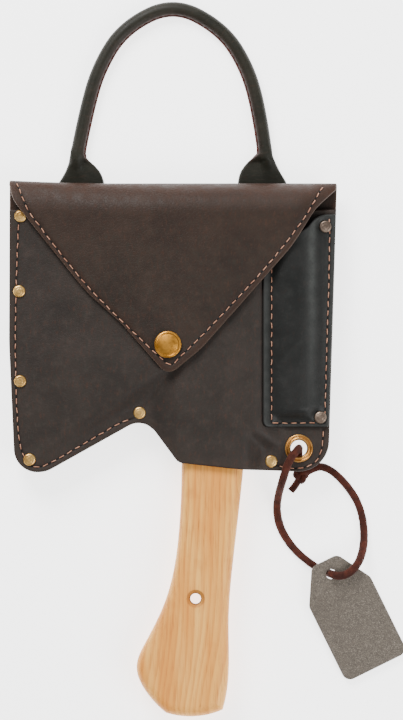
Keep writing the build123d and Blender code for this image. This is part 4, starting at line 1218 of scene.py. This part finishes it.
def thong(name, path, radius, seed=1.0):
    """A soft square-cut thong along a path: it twists slowly and its edges are uneven."""
    points, faces = [], []
    side = Vector((0, 0, 1))
    travelled = 0.0
    rows = len(path)
    for index, place in enumerate(path):
        along = (path[min(index + 1, rows - 1)] - path[max(index - 1, 0)]).normalized()
        side = (side - along * side.dot(along)).normalized()
        other = along.cross(side)
        travelled += (place - path[max(index - 1, 0)]).length
        turn = math.sin(travelled * LACE_TWIST) * 0.5
        for k in range(LACE_SIDES):
            angle = 2 * math.pi * k / LACE_SIDES
            c, s = math.cos(angle + turn), math.sin(angle + turn)
            power = 2 / SQUARENESS
            shape = (abs(math.cos(angle)) ** power + abs(math.sin(angle)) ** power) ** (-SQUARENESS / 2)
            rough = 1 + 0.07 * noise.noise(Vector((travelled * 420, k * 0.9, seed)))
            offset = (side * c + other * s) * (radius * min(shape, 1.12) * 0.93 * rough)
            offset.x *= LACE_SPREAD
            offset.y *= LACE_SPREAD
            points.append(tuple((place + offset) / MM))
    for a, b, c, d in side_faces(0, rows, LACE_SIDES):
        faces.append((a, d, c, b))
    last = (rows - 1) * LACE_SIDES
    faces.append(tuple(range(LACE_SIDES)))
    faces.append(tuple(last + k for k in reversed(range(LACE_SIDES))))
    piece = make_object(name, np.array(points), faces, SUEDE)
    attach(piece, "lace")
    return piece


def build_lace():
    """The lace, its knot and the short tail."""
    path = spline_places("lace_line", LACE_ROUTE, 14)
    lace = thong("lace_thong", path, LACE_R)
    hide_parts("lace")

    # The knot: the two ends wrap round each other and one short tail is left.
    turns = []
    for step in range(KNOT_TURNS + 1):
        t = 2 * math.pi * step / KNOT_TURNS
        trefoil = Vector((
            math.sin(t) + 2 * math.sin(2 * t), math.cos(t) - 2 * math.cos(2 * t), math.sin(3 * t),
        ))
        turns.append(KNOT_AT + trefoil * KNOT_SCALE)
    knot = thong("lace_knot_turns", turns, KNOT_THONG_R, 4.0)
    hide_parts("lace_knot")
    tail_path = []
    for step in range(TAIL_STEPS + 1):
        share = step / TAIL_STEPS
        tail_path.append(KNOT_AT.lerp(TAIL_END, share) + Vector((0.0006 * math.sin(share * 3.1), 0, 0)))
    tail = thong("lace_tail", tail_path, TAIL_R, 7.0)


build_lace()


# ---- Floor and light -------------------------------------------------------------
def build_studio():
    """Pale floor, a pale world and soft overhead light."""
    mesh = bpy.data.meshes.new("floor")
    half = 3.0
    corners = [(-half, -half, 0), (half, -half, 0), (half, half, 0), (-half, half, 0)]
    mesh.from_pydata(corners, [], [(0, 1, 2, 3)])
    floor = bpy.data.objects.new("floor", mesh)
    floor.location.z = -0.0004
    bpy.context.scene.collection.objects.link(floor)
    nodes = Nodes("floor_white")
    # The floor glows a little, as a lit table does.
    mesh.materials.append(nodes.finish(
        Base_Color=(250, 250, 250), Roughness=0.8, Specular_IOR_Level=0.1,
        Emission_Color=(1.0, 1.0, 1.0, 1.0), Emission_Strength=2.6,
    ))

    world = bpy.data.worlds.new("studio")
    bpy.context.scene.world = world
    world.use_nodes = True
    background = world.node_tree.nodes["Background"]
    background.inputs["Color"].default_value = (1.0, 1.0, 1.0, 1.0)
    background.inputs["Strength"].default_value = 0.6

    def lamp(name, place, size, power):
        data = bpy.data.lights.new(name, "AREA")
        data.shape = "SQUARE"
        data.size = size
        data.energy = power
        light = bpy.data.objects.new(name, data)
        light.location = place
        light.rotation_euler = Vector(place).to_track_quat("Z", "Y").to_euler()
        bpy.context.scene.collection.objects.link(light)

    lamp("key", (-0.55, 1.30, 1.15), 0.8, 50.0)
    lamp("fill", (1.1, -0.75, 1.25), 1.1, 27.0)


build_studio()
